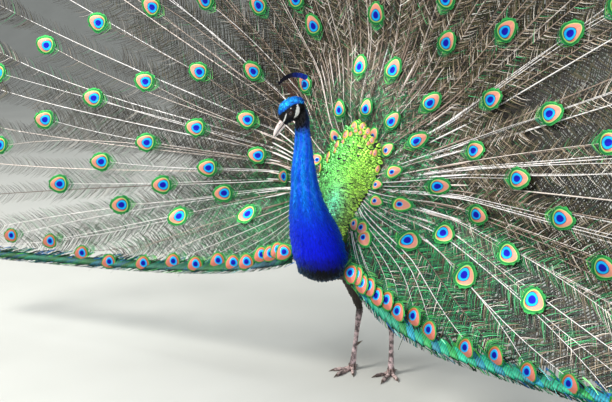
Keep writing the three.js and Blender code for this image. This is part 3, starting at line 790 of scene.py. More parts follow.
# Stiff scales of the crown: half metallic, satin, coarse barb lines.
head_feather = feather_material("crown_feather_stiff_scales", 0.42, 0.6, edge=0.4, barb_mm=1.0, bump=0.3)
finish_piece(head_coat, head_feather)

# %% [markdown]
# ## Scale feathers of the mantle
# The raised back is a shield of round golden-green feathers that lap like fish scales. Each is green in the
# middle, then has a gilt ring and a black rim; the ring is painted up to white as a painted highlight, and
# the black is widened as painted shade of the gaps. They stand in drooping rows, point up and outwards, and
# grow from 5 mm across at the bottom to about 20 mm at the top.

# %% Rows of scales
def on_mantle(x, z, out=0.0):
    """A place on the front of the mantle from its x and height."""
    height = np.clip(z, MANTLE_Z[0], MANTLE_Z[-1])
    half = np.interp(height, MANTLE_Z, MANTLE_HALF)
    points = mantle_front(height, np.clip(x / half, -1, 1), out)
    points[..., 0], points[..., 2] = x, z
    return points


def flatten(ways, normal):
    """Ways laid flat on a surface: each less its part along the normal, over its length."""
    return unit(ways - normal * np.sum(ways * normal, 1, keepdims=True))


def mantle_lie(x, z):
    """Outward normals of the mantle, and the way its feathers lie: up, and away from the middle line."""
    right = on_mantle(x + 0.002, z) - on_mantle(x - 0.002, z)
    above = on_mantle(x, z + 0.002) - on_mantle(x, z - 0.002)
    normal = unit(np.cross(right, above))
    normal *= -np.sign(normal[:, 1:2])
    fan = np.arctan2(x, z - 0.30)
    return normal, flatten(np.stack([np.sin(fan), 0 * fan, np.cos(fan)], 1), normal)


def scale_size(z):
    """The measure of the scales at a height, which their spacing, width and length follow."""
    return MM * np.interp(z, [0.34, 0.40, 0.46, 0.50, 0.57, 0.60], [4.8, 5.6, 7.2, 9.6, 13.2, 14.2])


across, level, row_z = [], [], 0.334
while row_z < 0.596:
    size = scale_size(row_z)
    close = smooth(row_z, 0.48, 0.54)
    count = max(4, int(2 * np.interp(row_z, MANTLE_Z, MANTLE_HALF) / ((0.74 - 0.14 * close) * size)))
    shift = 0.25 if len(level) % 2 else -0.25
    places = (np.arange(count) + 0.5 + shift) / count * 2 - 1 + 0.05 * rng.standard_normal(count) / count
    across.append(np.clip(places, -0.99, 0.99))
    level.append(np.full(count, row_z))
    row_z += (0.54 - 0.10 * close) * size
across, level = np.concatenate(across), np.concatenate(level)
z = level - 0.022 * across**2 + 0.0006 * rng.standard_normal(len(level))
z, across = z[z > 0.332], across[z > 0.332]
x = across * np.interp(z, MANTLE_Z, MANTLE_HALF)
normal, lie = mantle_lie(x, z)
lie = unit(lie + 0.07 * rng.standard_normal(lie.shape))
size = scale_size(z) * rng.uniform(0.92, 1.1, len(z))
broad = 1.14 + 0.30 * smooth(z, 0.46, 0.53) + 0.16 * smooth(across, 0.3, 0.9)
roots = on_mantle(x, z) - lie * size[:, None] * 0.5
scales = lay_vanes(roots, lie, normal, size * (0.4 + broad), size * broad, rows=6, columns=5,
                   lift=rng.uniform(0.13, 0.21, len(z)), cup=0.18, blunt=0.45)
# Mint on the bird's right, the side towards the key lamp, is painted light.
painted_light_side = smooth(-across, -0.2, 0.8)
low = smooth(z, 0.50, 0.40)
teal = np.exp(-((x - 0.002) / 0.024) ** 2 - ((z - 0.418) / 0.034) ** 2)
gold = smooth(across, 0.0, 0.9)
# Whitish scales scattered in the teal patch are painted glints.
tints = vary(["#80f056", "#7cffa4", "#ccee54", "#14aeb0", "#b0982a", "#f2fff4", "#48b83c"],
             [1.0, 2.0 * painted_light_side, 1.3 * gold + 0.1, 4.0 * teal, 0.9 * gold * low,
              0.5 * teal * rng.random(len(x)) ** 3, 0.6 * rng.random(len(x))], 0.16)
# Scales are lightened low on the shield, and a random share darkened, most of all low down: painted
# highlights and painted shade of the gaps.
speckle = rng.random(len(x)) < 0.25 + 0.25 * low
tints = np.clip(tints * (1 - (0.35 + 0.45 * low) * speckle + 0.35 * low)[:, None], 0, 1)
shield = make_coat("mantle_scales", scales, np.stack([x / 0.2 + 0.5, (z - 0.3) / 0.33], 1), tints)

# %% Gilt scales
# Mantle feather: green middle, a gilt ring painted up to white as a painted highlight, a black rim widened as
# painted shade of the gaps, fine barbs; metallic barbules.
scale_feather, add = new_material("mantle_scale_gilt_green_painted_glint", 0.32, metallic=0.45, ior=1.55)
lie = add("UVMap", uv_map="lie")
placed = add("Mapping", Vector=lie, Scale=(2.0, 4.0, 0), Location=(-1.0, -4.0 * 0.70, 0))
share = add("MapRange", add("VectorMath", placed, operation="LENGTH"), 0.0, 1.4)
shade = add("ValToRGB", share, stops=[
    (0.0, "#7c9a60"), (0.26, "#a4bc84"), (0.44, "#ffffff"), (0.57, "#fafae0"), (0.62, "#2c3c18"),
    (0.68, "#0a1006"), (1.0, "#050803")])
lines = barb_lines(add, 40 / 52, 52.0)[-1]
cover(add, add("VertexColor", layer_name="tint"), shade, 0.3, lines)
finish_piece(shield, scale_feather, ("mantle",))


# %% [markdown]
# ## The train's dish
# A displaying train is a shallow dish of 150 to 200 feathers that start under the mantle's edge. Low feathers
# lean farther forward than high ones. One function of angle and distance gives every place on the dish, so
# that shafts, barbs and eye-spots always meet.

# %% Places on the train
ROOT_Z = 0.47
rim_angle = np.degrees(np.arctan2(MANTLE_HALF, MANTLE_Z - ROOT_Z))[::-1]
rim_radius = np.hypot(MANTLE_HALF, MANTLE_Z - ROOT_Z)[::-1]
rim_y = (MANTLE_Y + MANTLE_FALL)[::-1]
HEM = {1: (0.142, 0.178, 0.205), -1: (0.180, 0.138, 0.360)}
SIDES = {"left": 1, "right": -1}


def dish(angle, radius, back=0.0):
    """x = r sin(a), z = root + r cos(a), y = root_y(a) - lean(a)*r + back; angles in degrees, + to the left.
    Near the body the dish is drawn forward to meet the mantle's edge, and the draw fades over 0.2 m."""
    size = np.abs(angle)
    lean = 0.1 + 0.17 * smooth(size, 50, 100) + 0.42 * smooth(size, 100, 150)
    root_y = 0.054 * (1 - smooth(size, 100, 150))
    rim = np.interp(size, rim_angle, rim_radius)
    draw = np.interp(size, rim_angle, rim_y) + 0.004 - (root_y - lean * rim)
    turn = np.radians(angle)
    y = root_y - lean * radius + draw * (1 - smooth(radius - rim, 0, 0.2)) + back
    return np.stack(np.broadcast_arrays(radius * np.sin(turn), y, ROOT_Z + radius * np.cos(turn)), -1)


def hem_height(side, x):
    """Height of the train's lower edge at a distance x from the middle: level + rise*exp(-x/fade)."""
    level, rise, fade = HEM[side]
    return level + rise * np.exp(-np.asarray(x) / fade)


def hem_polar(side, x, up):
    """Angle and radius on the dish of the place at x, and up above the hem."""
    drop = hem_height(side, x) + up - ROOT_Z
    return side * np.degrees(np.arctan2(x, drop)), np.hypot(x, drop)


def off_shaft(angle, radius, along, across, back):
    """Places on the dish, moved along a shaft and across it (both in metres)."""
    far = radius + along
    return dish(angle + np.degrees(across / np.maximum(far, 0.05)), far, back)


def train_uv(angle, radius):
    """Places on the bake map for roots on the train, from their angle and distance."""
    return np.stack([angle / 270 + 0.5, radius / 1.3], 1)


# %% Places of the eye-spots
# Open spots stand in rows: distance of the first and last in mm, angle of the first and last, and how many.
SPOT_ROWS = [
    (110, 120, -30, 73, 5), (83, 94, 86, 107, 2), (95, 113, 144, 137, 2), (135, 200, 139, 122, 2),
    (145, 350, 103, 117, 3), (165, 165, -18, 32, 3), (180, 616, 56, 99, 5), (208, 505, 88, 111, 4),
    (245, 606, 42, 77, 4), (259, 588, 15, 55, 4), (100, 205, -64, -93, 3), (150, 316, -110, -110, 2),
    (255, 1090, -4, -79, 8), (273, 1035, -41, -89, 7), (352, 842, -71, -95, 5), (295, 665, -84, -100, 4),
    (380, 505, -100, -105, 2), (370, 450, 3, 8, 2), (450, 450, -26, -8, 2), (450, 575, 26, 30, 2),
    (575, 575, -30, 15, 4), (700, 700, -44, 106, 13), (830, 830, -58, 104, 15), (960, 960, -58, 100, 16),
    (1080, 1080, -60, 100, 17)]
# Spots along the hem: side, distance sideways of the first and last in metres, and how many. Their lift over
# the hem is read between the knots (distances, lifts) of each side.
HEM_ROWS = [(1, 0.080, 0.290, 9), (1, 0.375, 1.090, 8), (-1, 0.102, 0.213, 5), (-1, 0.256, 0.535, 5),
            (-1, 0.643, 1.116, 5)]
HEM_LIFT = {1: ([0.25, 0.55, 0.90], [0.038, 0.022, -0.006]),
            -1: ([0.15, 0.20, 0.70, 0.93, 1.03], [0.036, 0.024, 0.018, 0.080, 0.030])}


def spot_row(first, last, start, end, count):
    """Distances in even steps from first to last; every step turns by an amount that falls as 1/distance."""
    reach = np.linspace(first, last, count) * MM
    turn = np.append(0, np.cumsum(2 / (reach[1:] + reach[:-1])))
    return np.stack([start + (end - start) * turn / turn[-1], reach], 1)


def hem_row(side, first, last, count):
    """Distances sideways that grow by one factor from first to last; every second spot stands 6 mm higher."""
    x = first * (last / first) ** np.linspace(0, 1, count)
    lift = np.interp(x, *HEM_LIFT[side]) + 0.006 * (np.arange(count) % 2 - 0.5)
    return np.stack(hem_polar(side, x, lift), 1)


open_spots = np.concatenate([spot_row(*row) for row in SPOT_ROWS])
hem_spots = np.concatenate([hem_row(*row) for row in HEM_ROWS])
spot_angle, spot_radius = np.concatenate([open_spots, hem_spots]).T
is_hem = np.arange(len(spot_angle)) >= len(open_spots)
is_young = ~is_hem & (spot_radius < 0.165)
print("eye-spots:", len(spot_angle), "of them on the hem:", is_hem.sum())


# %% [markdown]
# ## Eye-spots
# The eye-spot is a flat oval where the barbs lock together. From the middle it runs from ink blue through
# cyan to a bronze and salmon field on its outer side, then a gold line and green fringes. The disc is one
# small grid, and its pattern is drawn from ovals in the disc's own coordinates.

# %% Discs of the eye-spots
def disc_grid(steps):
    """A square grid pressed into a unit disc: x = s*sqrt(1 - t^2/2), y = t*sqrt(1 - s^2/2)."""
    line = np.linspace(-1, 1, steps)
    t, s = np.meshgrid(line, line, indexing="ij")
    return s * np.sqrt(1 - t * t / 2), t * np.sqrt(1 - s * s / 2)


def lay_discs(length, width, steps, point=0.17):
    """Flat ovals with a ragged edge as (along, across, bulge, uv); point narrows a disc towards its tip."""
    dx, dy = disc_grid(steps)
    length, width = length[:, None, None], width[:, None, None]
    ragged = 1 + 0.05 * rng.standard_normal((len(length), *dx.shape)) * (np.hypot(dx, dy) > 0.99)
    along = dy * length / 2 * ragged
    across = dx * (1 - point * (dy + 0.3)) * width / 2 * ragged
    return along, across, -0.0022 * (1 - dx**2 - dy**2), np.stack([dx, dy], -1) * 0.5 + 0.5


def facing_discs(angle, radius, along, across, back):
    """Discs turned on their shafts to face ahead: centre + along*(sin a, -0.4, cos a) + across*(cos a, 0,
    -sin a), with the first way brought to length 1."""
    turn = np.radians(angle)
    out = np.stack([np.sin(turn), -0.4 + 0 * turn, np.cos(turn)], -1)
    side = np.stack([np.cos(turn), 0 * turn, -np.sin(turn)], -1)
    return dish(angle, radius, back - 0.009) + unit(out) * along[..., None] + side * across[..., None]


def disc_piece(name, points, disc, material):
    """One piece from discs of shape (count, steps, steps, 3), each with a cell of its own for baking."""
    count, steps = points.shape[:2]
    cells = math.ceil(math.sqrt(count))
    cell = np.stack([np.arange(count) % cells, np.arange(count) // cells], 1)
    bake = (cell[:, None, None] + 0.06 + 0.88 * disc) / cells
    piece = make_piece(name, points, grid_faces(steps, steps, count=count), bake=bake,
                       uv=np.broadcast_to(disc, (count, *disc.shape)))
    return finish_piece(piece, material)


def eye_spot_material(name, field_low, field_high, rings):
    """Locked barbules, metallic: nested ovals over a green fringe. Each ring is (centre along, half across,
    half along, softness, colour or 'field'), and the field runs from field_low to field_high."""
    material, add = new_material(name, 0.5, metallic=0.75)
    centred, _, along, lines = barb_lines(add, 0.9, 46 * math.pi)
    colour = add("ValToRGB", add("MapRange", lines, -1.0, 1.0), stops=[(0.0, "#0f5c30"), (1.0, "#3fb456")])
    field = add("ValToRGB", along, stops=[(0.2, field_low), (0.55, field_high), (1.0, field_high)])
    # Distances across count for more towards the outer end, so every oval comes to a blunt point there.
    swell = add("Math", along, 0.36, 0.86, operation="MULTIPLY_ADD")
    drop = add("CombineXYZ", add("Math", centred, swell, 0.5, operation="MULTIPLY_ADD"), along)
    for centre, half_x, half_y, soft, paint_with in rings:
        scaled = add("Mapping", Vector=drop, Scale=(2 / half_x, 2 / half_y, 0),
                     Location=(-1 / half_x, -(1 + centre) / half_y, 0))
        reach = add("VectorMath", scaled, operation="LENGTH")
        share = add("MapRange", reach, 1 - soft, 1 + soft, 1.0, 0.0, interpolation_type="SMOOTHSTEP")
        colour = add("MixRGB", share, colour, field if paint_with == "field" else rgba(paint_with))
    cover(add, colour, add("MapRange", lines, -1.0, 1.0, 0.84, 1.06), 0.25, lines)
    return material


eye_spot = eye_spot_material("eye_spot_locked_barbules", "#96401e", "#d8927e", [
    (0.0, 0.90, 0.92, 0.05, "#0b5a34"), (0.01, 0.82, 0.84, 0.05, "#2f9a48"),
    (0.02, 0.77, 0.79, 0.04, "#a4cc74"), (0.03, 0.72, 0.73, 0.05, "field"),
    (-0.18, 0.53, 0.52, 0.07, "#161630"), (-0.18, 0.48, 0.47, 0.08, "#04acec"),
    (-0.17, 0.30, 0.31, 0.14, "#020aa4")])
hem_spot = eye_spot_material("hem_eye_spot_locked_barbules", "#b05238", "#c87868", [
    (0.03, 0.93, 0.92, 0.05, "#1c7a3c"), (0.04, 0.86, 0.86, 0.05, "#b08a4a"),
    (0.06, 0.78, 0.79, 0.05, "field"),
    (-0.16, 0.54, 0.44, 0.10, "#06acec"), (-0.14, 0.32, 0.28, 0.14, "#020aa0")])
young_spot = eye_spot_material("young_eye_spot_locked_barbules", "#c07048", "#dc937e", [
    (0.0, 0.92, 0.93, 0.04, "#1f8a44"), (0.01, 0.80, 0.82, 0.05, "#a8d86a"),
    (0.03, 0.70, 0.73, 0.06, "field"),
    (-0.22, 0.34, 0.32, 0.12, "#0ca4e4"), (-0.22, 0.22, 0.22, 0.16, "#020a90")])
mantle_spot = eye_spot_material("mantle_edge_spot_locked_barbules", "#c07048", "#d88a74", [
    (0.0, 0.92, 0.92, 0.04, "#2f8a2c"), (0.02, 0.84, 0.86, 0.06, "#c4dc5a"),
    (0.05, 0.68, 0.70, 0.10, "#cf8a4c"),
    (0.05, 0.52, 0.56, 0.14, "#e09a88"), (-0.2, 0.16, 0.16, 0.3, "#3a7a9c")])

# %% Spots of the train
length = MM * np.interp(spot_radius, [0.08, 0.13, 0.20, 0.32, 0.50, 0.8], [28, 38, 46, 52, 57, 60])
length = np.where(is_hem, np.where(spot_angle < 0, 0.042, 0.046), length)
width = np.where(is_hem, np.where(spot_angle < 0, 0.98, 0.90), 0.86) * length
back = 0.012 * (spot_radius / 1.2) - 0.009 + 0.001 * rng.standard_normal(len(spot_angle))
middle = spot_radius + 0.07 * length  # the rows give the place of the blue core, not of the disc
for name, chosen, material, lay in (("eye_spots", ~is_hem & ~is_young, eye_spot, off_shaft),
                                    ("young_eye_spots", is_young, young_spot, off_shaft),
                                    ("hem_eye_spots", is_hem, hem_spot, facing_discs)):
    along, across, bulge, disc = lay_discs(length[chosen], width[chosen], 11)
    angle, radius, behind = (values[chosen][:, None, None] for values in (spot_angle, middle, back))
    disc_piece(name, lay(angle, radius, along, across, behind + bulge), disc, material)

# %% Spots of the mantle's edge
# Round salmon-centred feathers stand in rows along the upper edge, whose sides fall in different bends.
EDGE_FALL = {1: (90, 2.0), -1: (104, 1.2)}
EDGE_ROWS = [(1, 0.2, 1.0, 5, -2, 22), (-1, 0.08, 0.97, 5, -3, 25), (1, 0.03, 0.7, 5, 11, 14),
             (-1, 0.12, 0.7, 4, 11, 15)]


def edge_row(side, first, last, count, inset, size):
    """x = 73*s and z = 593 - fall*s^bend - inset in mm, with s from first to last, and each feather's length
    and width."""
    share = np.linspace(first, last, count)
    fall, bend = EDGE_FALL[side]
    height = 593 - fall * share**bend - inset
    return np.stack([side * 73 * share, height, size + 0 * share, size * (0.96 - 0.4 * share)]) * MM


x, z, edge_length, edge_width = np.concatenate([edge_row(*row) for row in EDGE_ROWS], 1)
normal, lie = mantle_lie(x, z)
along, across, bulge, disc = lay_discs(edge_length, edge_width, 9, point=0.05)
centre = (on_mantle(x, z) + 0.0036 * normal)[:, None, None]
sideways, lie, normal = (way[:, None, None] for way in (np.cross(lie, normal), lie, normal))
points = (centre + lie * along[..., None] + sideways * across[..., None]
          + normal * (0.14 * along - bulge)[..., None])
disc_piece("mantle_edge_spots", points, disc, mantle_spot)


# %% [markdown]
# ## Shafts and barbs
# Below the eye-spot the barbs stay apart, so the train is a see-through net of herringbones on pale shafts.
# A sheet with a cut-out pattern would look flat from the side. Here each barb is a thin bent strip: it leaves
# the shaft steeply and bends towards the tip. It is about 1 mm wide, a little over life, so that it shows.
# Real trains lie several feathers deep, so a second net stands behind the first, its barbs near black as
# painted shade deep in the train.

# %% Barbs and shafts as arrays
def lay_barbs(angle, radius, side, length, start_turn, end_turn, width, back, rows=4):
    """Strips rooted on shafts at (angle, radius). The way a strip heads turns evenly from start_turn to
    end_turn from the shaft, so its path is the running sum of cos and sin of that heading."""
    angle, radius, side, length, start_turn, end_turn, width, back = (
        values[:, None] for values in (angle, radius, side, length, start_turn, end_turn, width, back))
    steps = np.linspace(0, 1, rows)
    heading = start_turn + (end_turn - start_turn) * (steps[:-1] + steps[1:]) / 2
    start, part = np.zeros((len(angle), 1)), length / (rows - 1)
    along = np.concatenate([start, np.cumsum(np.cos(heading) * part, 1)], 1)
    across = np.concatenate([start, np.cumsum(np.sin(heading) * part, 1)], 1)
    aim = start_turn + (end_turn - start_turn) * steps
    half = width / 2 * (1 - 0.65 * steps)
    return np.stack([off_shaft(angle, radius, along - edge * half * np.sin(aim),
                               side * (across + edge * half * np.cos(aim)), back) for edge in (-1, 1)], 2)


def open_tints(angle, radius):
    """Open barbs: green by the body and low down, and brown, olive and grey farther out."""
    low = smooth(np.abs(angle), 90, 122) * smooth(radius, 0.80, 0.25)
    green = 2.0 * smooth(radius, 0.28, 0.12) + 5.0 * low + 0.12
    green = green + 3.0 * smooth(-angle, 84, 108) * smooth(radius, 1.2, 0.5)
    # On the bird's right the barbs are chosen darker and darkened by up to half: painted shade where the key
    # lamp lights them from the side.
    shaded_side = smooth(-angle, 10, 60)
    tints = pick(["#0f8a4c", "#06503c", "#4cc07a", "#1a140c", "#5a4c34", "#424a22", "#a09078", "#e2dace"],
                 [0.5 * green, 0.6 * green, 0.3 * green, 1.5 + 1.5 * shaded_side, 0.7, 0.5, 0.6 - 0.4 * shaded_side,
                  0.32 - 0.17 * shaded_side], 0.2)
    return tints * (1 - 0.5 * shaded_side * smooth(radius, 0.2, 0.5))[:, None]


def painted_shade_tints(angle, radius):
    """Barbs of the net behind: black brown as painted shade, with dark green low down."""
    green = smooth(radius, 0.30, 0.12) + 1.6 * smooth(np.abs(angle), 98, 125) * smooth(radius, 0.9, 0.4)
    green = green + 1.2 * smooth(-angle, 84, 108)
    far = smooth(radius, 0.3, 0.7)
    return pick(["#06321e", "#0c0905", "#1c160c", "#1c2610", "#403a22"],
                [green, 1 - 0.5 * far, 0.8, 0.5 + 0.5 * far, 0.25 + 0.6 * far], 0.25)


def fringe_tints(angle, radius):
    """Barbs round an eye-spot: leaf green with gold and dark green among them."""
    return pick(["#1e9a48", "#0a5230", "#6cc45a", "#0a7a5c"], [1 + 0 * angle, 0.9, 0.35, 0.4], 0.15)


def shaft_tube(angle, start, end, bend, back, thick, rings=12, sides=4):
    """A tapering tube along a shaft: radius of the tube falls evenly from thick to a third of it."""
    s = np.linspace(0, 1, rings)[:, None]
    around = circle(sides)
    tube = thick * (1 - 0.68 * s)
    return off_shaft(angle + bend * 4 * s * (1 - s), start + (end - start) * s, 0.0, tube * np.cos(around),
                     back + tube * np.sin(around))


def rim_at(angle):
    """Where the train comes out from under the mantle: 4 mm inside its edge."""
    return float(np.interp(abs(angle), rim_angle, rim_radius)) - 0.004


nets = {kind: {f"{side}_{part}": [] for side in SIDES for part in ("upper", "lower")}
        for kind in ("barbs", "collars", "under")}
shafts = []


def grow(kind, tints, angle, radius, start, end, spacing, bend, back, reach, width=0.0011, rows=4,
         lean=(54, 28)):
    """All barbs of one feather from start to end of its shaft, on both sides, into one of the nets;
    reach gives a barb's length, and barbs that hang below the hem are cut out but for a few."""
    at = np.arange(start, end, spacing)
    at = np.repeat(at, 2) + rng.uniform(-0.3, 0.3, 2 * len(at)) * spacing
    count = len(at)
    width = width * (0.85 if angle < 0 else 1.0)
    s = np.clip((at - 0.075) / (radius - 0.075 + 1e-6), 0, 1)
    turn = angle + bend * 4 * s * (1 - s)
    length = reach(at) * rng.uniform(0.78, 1.1, count)
    side = np.tile([-1.0, 1.0], count // 2)
    strips = lay_barbs(turn, at, side, length, np.radians(rng.normal(lean[0], 4, count)),
                       np.radians(rng.normal(lean[1], 7, count)), width * rng.uniform(0.8, 1.2, count),
                       back + rng.normal(0, 0.0012, count), rows)
    tip = strips[:, -1, 0]
    above = tip[:, 2] > hem_height(int(np.sign(angle) or 1), np.abs(tip[:, 0]))
    kept = above | (rng.random(count) < 0.04)
    sector = ("left" if angle > 0 else "right") + ("_upper" if abs(angle) < 62 else "_lower")
    nets[kind][sector].append((strips[kept], tints(turn, at)[kept], train_uv(turn, at)[kept]))


# %% Feathers with an eye-spot
for angle, radius, size, spot_back in zip(spot_angle, spot_radius, length, back):
    start = rim_at(angle)
    bend = rng.normal(0, 1.2)
    behind = spot_back + 0.004
    if radius - start > 0.03:
        grow("barbs", open_tints, angle, radius, start, radius - 0.02, spacing=0.0048, bend=bend, back=behind,
             reach=lambda at: (0.70 + 0.30 * smooth(at, radius - 0.1, radius)) * (
                 0.014 + 0.036 * smooth(at, 0.10, 0.5) + 0.034 * smooth(at, 0.5, 0.75)))
        shafts.append(shaft_tube(angle, start, radius - 0.3 * size, bend, back=behind - 0.0014,
                                 thick=0.0008 + 0.0007 * smooth(radius, 0.2, 0.7)))
    grow("collars", fringe_tints, angle, radius, radius - 0.68 * size, radius + 0.20 * size, spacing=0.0017,
         bend=0.0, back=spot_back + 0.0026, reach=lambda at: 0.46 * size, width=0.0013, rows=3, lean=(66, 34))

# %% Fishtails, the long feathers of the rim that end in a fork, and short plumes round the body
CORNER = {1: 106.2, -1: 104.3}  # degrees from the top down to where the rim meets the hem
FISHTAILS = 20  # on each side
RIM = 1.2
# Distance of each ring of plumes in metres, and degrees between its plumes.
PLUME_RINGS = ((0.15, 7.0), (0.20, 5.5), (0.27, 4.6), (0.34, 4.6), (0.43, 5.2))


def fork(at):
    """Length of a fishtail's barbs: longest at 1.1 m, short at the very tip."""
    return 0.040 + 0.022 * smooth(at, 1.02, 1.10) - 0.030 * smooth(at, 1.14, 1.20)


def over_hem(angle, out):
    """How far a place on a shaft stands over the hem."""
    turn = math.radians(angle)
    return ROOT_Z + out * math.cos(turn) - hem_height(int(np.sign(angle) or 1), np.abs(out * math.sin(turn)))


for side in CORNER:
    for i in range(FISHTAILS):
        angle = side * CORNER[side] * (i + 0.5) / FISHTAILS
        bend = rng.normal(0, 1.0)
        grow("barbs", open_tints, angle, RIM, 0.62, 1.03, spacing=0.0052, bend=bend, back=0.006, reach=fork)
        grow("barbs", open_tints, angle, RIM, 1.03, 1.196, spacing=0.0026, bend=bend, back=0.004, reach=fork,
             width=0.0016)
        shafts.append(shaft_tube(angle, rim_at(angle), 1.19, bend, back=0.005, thick=0.0019))
for ring, step in PLUME_RINGS:
    for angle in np.arange(-152, 152.1, step):
        angle = angle + rng.normal(0, 0.8)
        end = ring * rng.uniform(0.85, 1.25)
        start = rim_at(angle)
        if over_hem(angle, end) > 0.01 and end - start > 0.03:
            grow("barbs", open_tints, angle, end, start, end, spacing=0.0042, bend=rng.normal(0, 1),
                 back=-0.002 + 0.01 * ring, reach=lambda at: 0.012 + 0.028 * smooth(at, 0.10, 0.35),
                 width=0.0012)

# %% The net behind, near black as painted shade
UNDER_END = 1.06  # metres from the train's root; on the bird's right the net thins out and ends sooner
for angle in np.arange(-156, 156.1, 2.3):
    angle = angle + rng.normal(0, 0.5)
    start = rim_at(angle)
    out = np.arange(start, UNDER_END, 0.01)
    clear = over_hem(angle, out) > 0.012
    end = out[-1] if clear.all() else out[np.argmin(clear)] - 0.01
    thin = float(smooth(-angle, 5, 50))
    end = min(end, UNDER_END + thin * (rng.uniform(0.40, 1.0) - UNDER_END))
    if end - start > 0.03:
        grow("under", painted_shade_tints, angle, 1.1, start, end, spacing=0.0055, bend=0.0,
             back=0.012 + 0.004 * rng.random(), reach=lambda at: 0.018 + 0.030 * smooth(at, 0.10, 0.35),
             width=0.0034 - 0.0015 * thin, rows=3, lean=(60, 36))

# %% Pieces of the nets
# Loose barbs: soft keratin with a faint metallic gleam, and no lines of their own.
barb_strips = feather_material("train_barb_loose", 0.55, 0.2, edge=0.0, barb_mm=3.0, bump=0.0)
for sector in nets["barbs"]:
    side, part = sector.split("_")
    stands_for = [f"train_{side}_{n}" for n in ((1, 2, 3) if part == "upper" else (4, 5))]
    for kind, net in nets.items():
        strips, tints, places = (np.concatenate(values) for values in zip(*net[sector]))
        gradient = np.linspace(1.10, 0.82, strips.shape[1])[:, None, None]  # darker towards the barbs' ends
        tints = np.clip(tints[:, None, None] * gradient, 0, 1)
        piece = make_coat(f"train_{kind}_{sector}", strips, places, tints)
        finish_piece(piece, barb_strips, stands_for if kind == "barbs" else ())

# %% Pale shafts
# Feather shaft: smooth keratin, ivory to horn brown, with faint patches about 11 mm long.
ivory, add = new_material("feather_shaft_ivory_keratin", 0.34, ior=1.54, coat=0.15)
grain = add("TexNoise", Vector=add("TexCoord").node.outputs["Object"], Scale=90.0, Detail=3.0)
shade = add("ValToRGB", grain, stops=[(0.3, "#d8d0ca"), (0.5, "#fbf8f6"), (0.75, "#ffffff")])
tint = add("VertexColor", layer_name="tint")
add("BsdfPrincipled", Base_Color=add("MixRGB", 1.0, tint, shade, blend_type="MULTIPLY"))
tubes = np.stack(shafts)
count, rings, sides = tubes.shape[:3]
bake = np.stack(np.broadcast_arrays((np.arange(count) / count)[:, None, None],
                                    np.linspace(0.01, 0.99, rings)[:, None], np.zeros(sides)), -1)[..., :2]
upright = smooth(np.degrees(np.arccos(np.clip(unit(tubes[:, -1, 0] - tubes[:, 0, 0])[:, 2], -1, 1))), 75, 40)
tints = pick(["#ffffff", "#ece2da", "#a89688", "#6e5f52"],
             [1.0 - 0.9 * upright, 0.6, 0.2 + 0.8 * upright, 0.05 + 0.7 * upright], 0.05)
tints = np.broadcast_to(tints[:, None, None], tubes.shape)
shaft_piece = make_piece("train_shafts", tubes, grid_faces(rings, sides, True, count), bake=bake, tint=tints)
finish_piece(shaft_piece, ivory)

# %% [markdown]
# ## The hem
# The lowest feathers have no open net: long sickle-shaped barbs, all on one side, run outwards along the
# edge in glossy sea green and blue and close the hem. They are the same bent strips, laid along the hem.

# %% Sickle barbs of the hem
def hem_sickles(side, count=520):
    """Strips that start on the hem at x and run outwards along it, sinking a little towards its edge."""
    x = 0.072 + 1.03 * (np.arange(count) + rng.random(count)) / count
    up = rng.uniform(0.003, 0.034, count)
    length = np.interp(x, [0.07, 0.3, 0.8], [0.036, 0.055, 0.075]) * rng.uniform(0.7, 1.1, count)
    steps = np.linspace(0, 1, 5)
    along_x = x[:, None] + length[:, None] * steps * 0.97
    rise = up[:, None] * (1 - steps**1.5) - 0.004 * steps
    strips = []
    for edge in (-0.0012, 0.0012):
        angle, radius = hem_polar(side, along_x, rise + edge * (1 - 0.8 * steps))
        strips.append(dish(angle, radius, -0.004 + 0.004 * rng.random((count, 1))))
    chance = (rng.random((count, 4)) ** 2).T
    weights = [share + more for share, more in zip(chance, (0.3, 0.35, 0.5 * smooth(x, 0.3, 0.8), 0))]
    tints = pick(["#0c7a48", "#0a6a6c", "#0a5c96", "#3a9a3c", "#04180e"], [*weights, 1.5], 0.25)
    return np.stack(strips, 2), tints, train_uv(*hem_polar(side, x, up))


def hem_webs(side):
    """Closed webs of the hem's feathers, laid end over end: each runs outwards from x over its length, from
    2 mm over the hem up by rise*sqrt(1 - s^4), with a rise of 24 to 16 mm, and bulges 5 mm forward. Every
    other row is a dark rib."""
    x = np.arange(0.085, 1.06, 0.019)
    length = np.interp(x, [0.1, 0.4, 0.9], [0.045, 0.060, 0.080])[:, None, None]
    s = np.linspace(0, 1, 24)[:, None]
    share = np.linspace(0, 1, 5)
    rise = np.interp(x, [0.1, 0.5, 1.0], [0.024, 0.019, 0.016])[:, None, None]
    rise = 0.002 + share * rise * np.sqrt(1 - 0.98 * s**4)
    angle, radius = hem_polar(side, x[:, None, None] + length * s, rise)
    webs = dish(angle, radius, -0.005 * np.sin(np.pi * share) - 0.004 * s + 0.002)
    blue = 0.5 * smooth(x, 0.25, 0.5) * (side > 0)
    base = pick(["#06a07c", "#048aa0", "#0a6ac0", "#1c9a50"], [1, 1, blue, 0.6], 0.2)
    # On the bird's right the webs are darkened to about a third: painted shade.
    base = base * (1.0 if side > 0 else 0.36)
    rib = (np.arange(24) % 2 == 0)[:, None] * rng.uniform(0.4, 1.1, (len(x), 24, 1))
    edge = 1 - smooth(share, 0.3, 0.0) * 0.85
    tints = base[:, None, None] * ((1 - 0.8 * rib) * edge)[..., None]
    return webs, tints, train_uv(*hem_polar(side, x, 0.012))


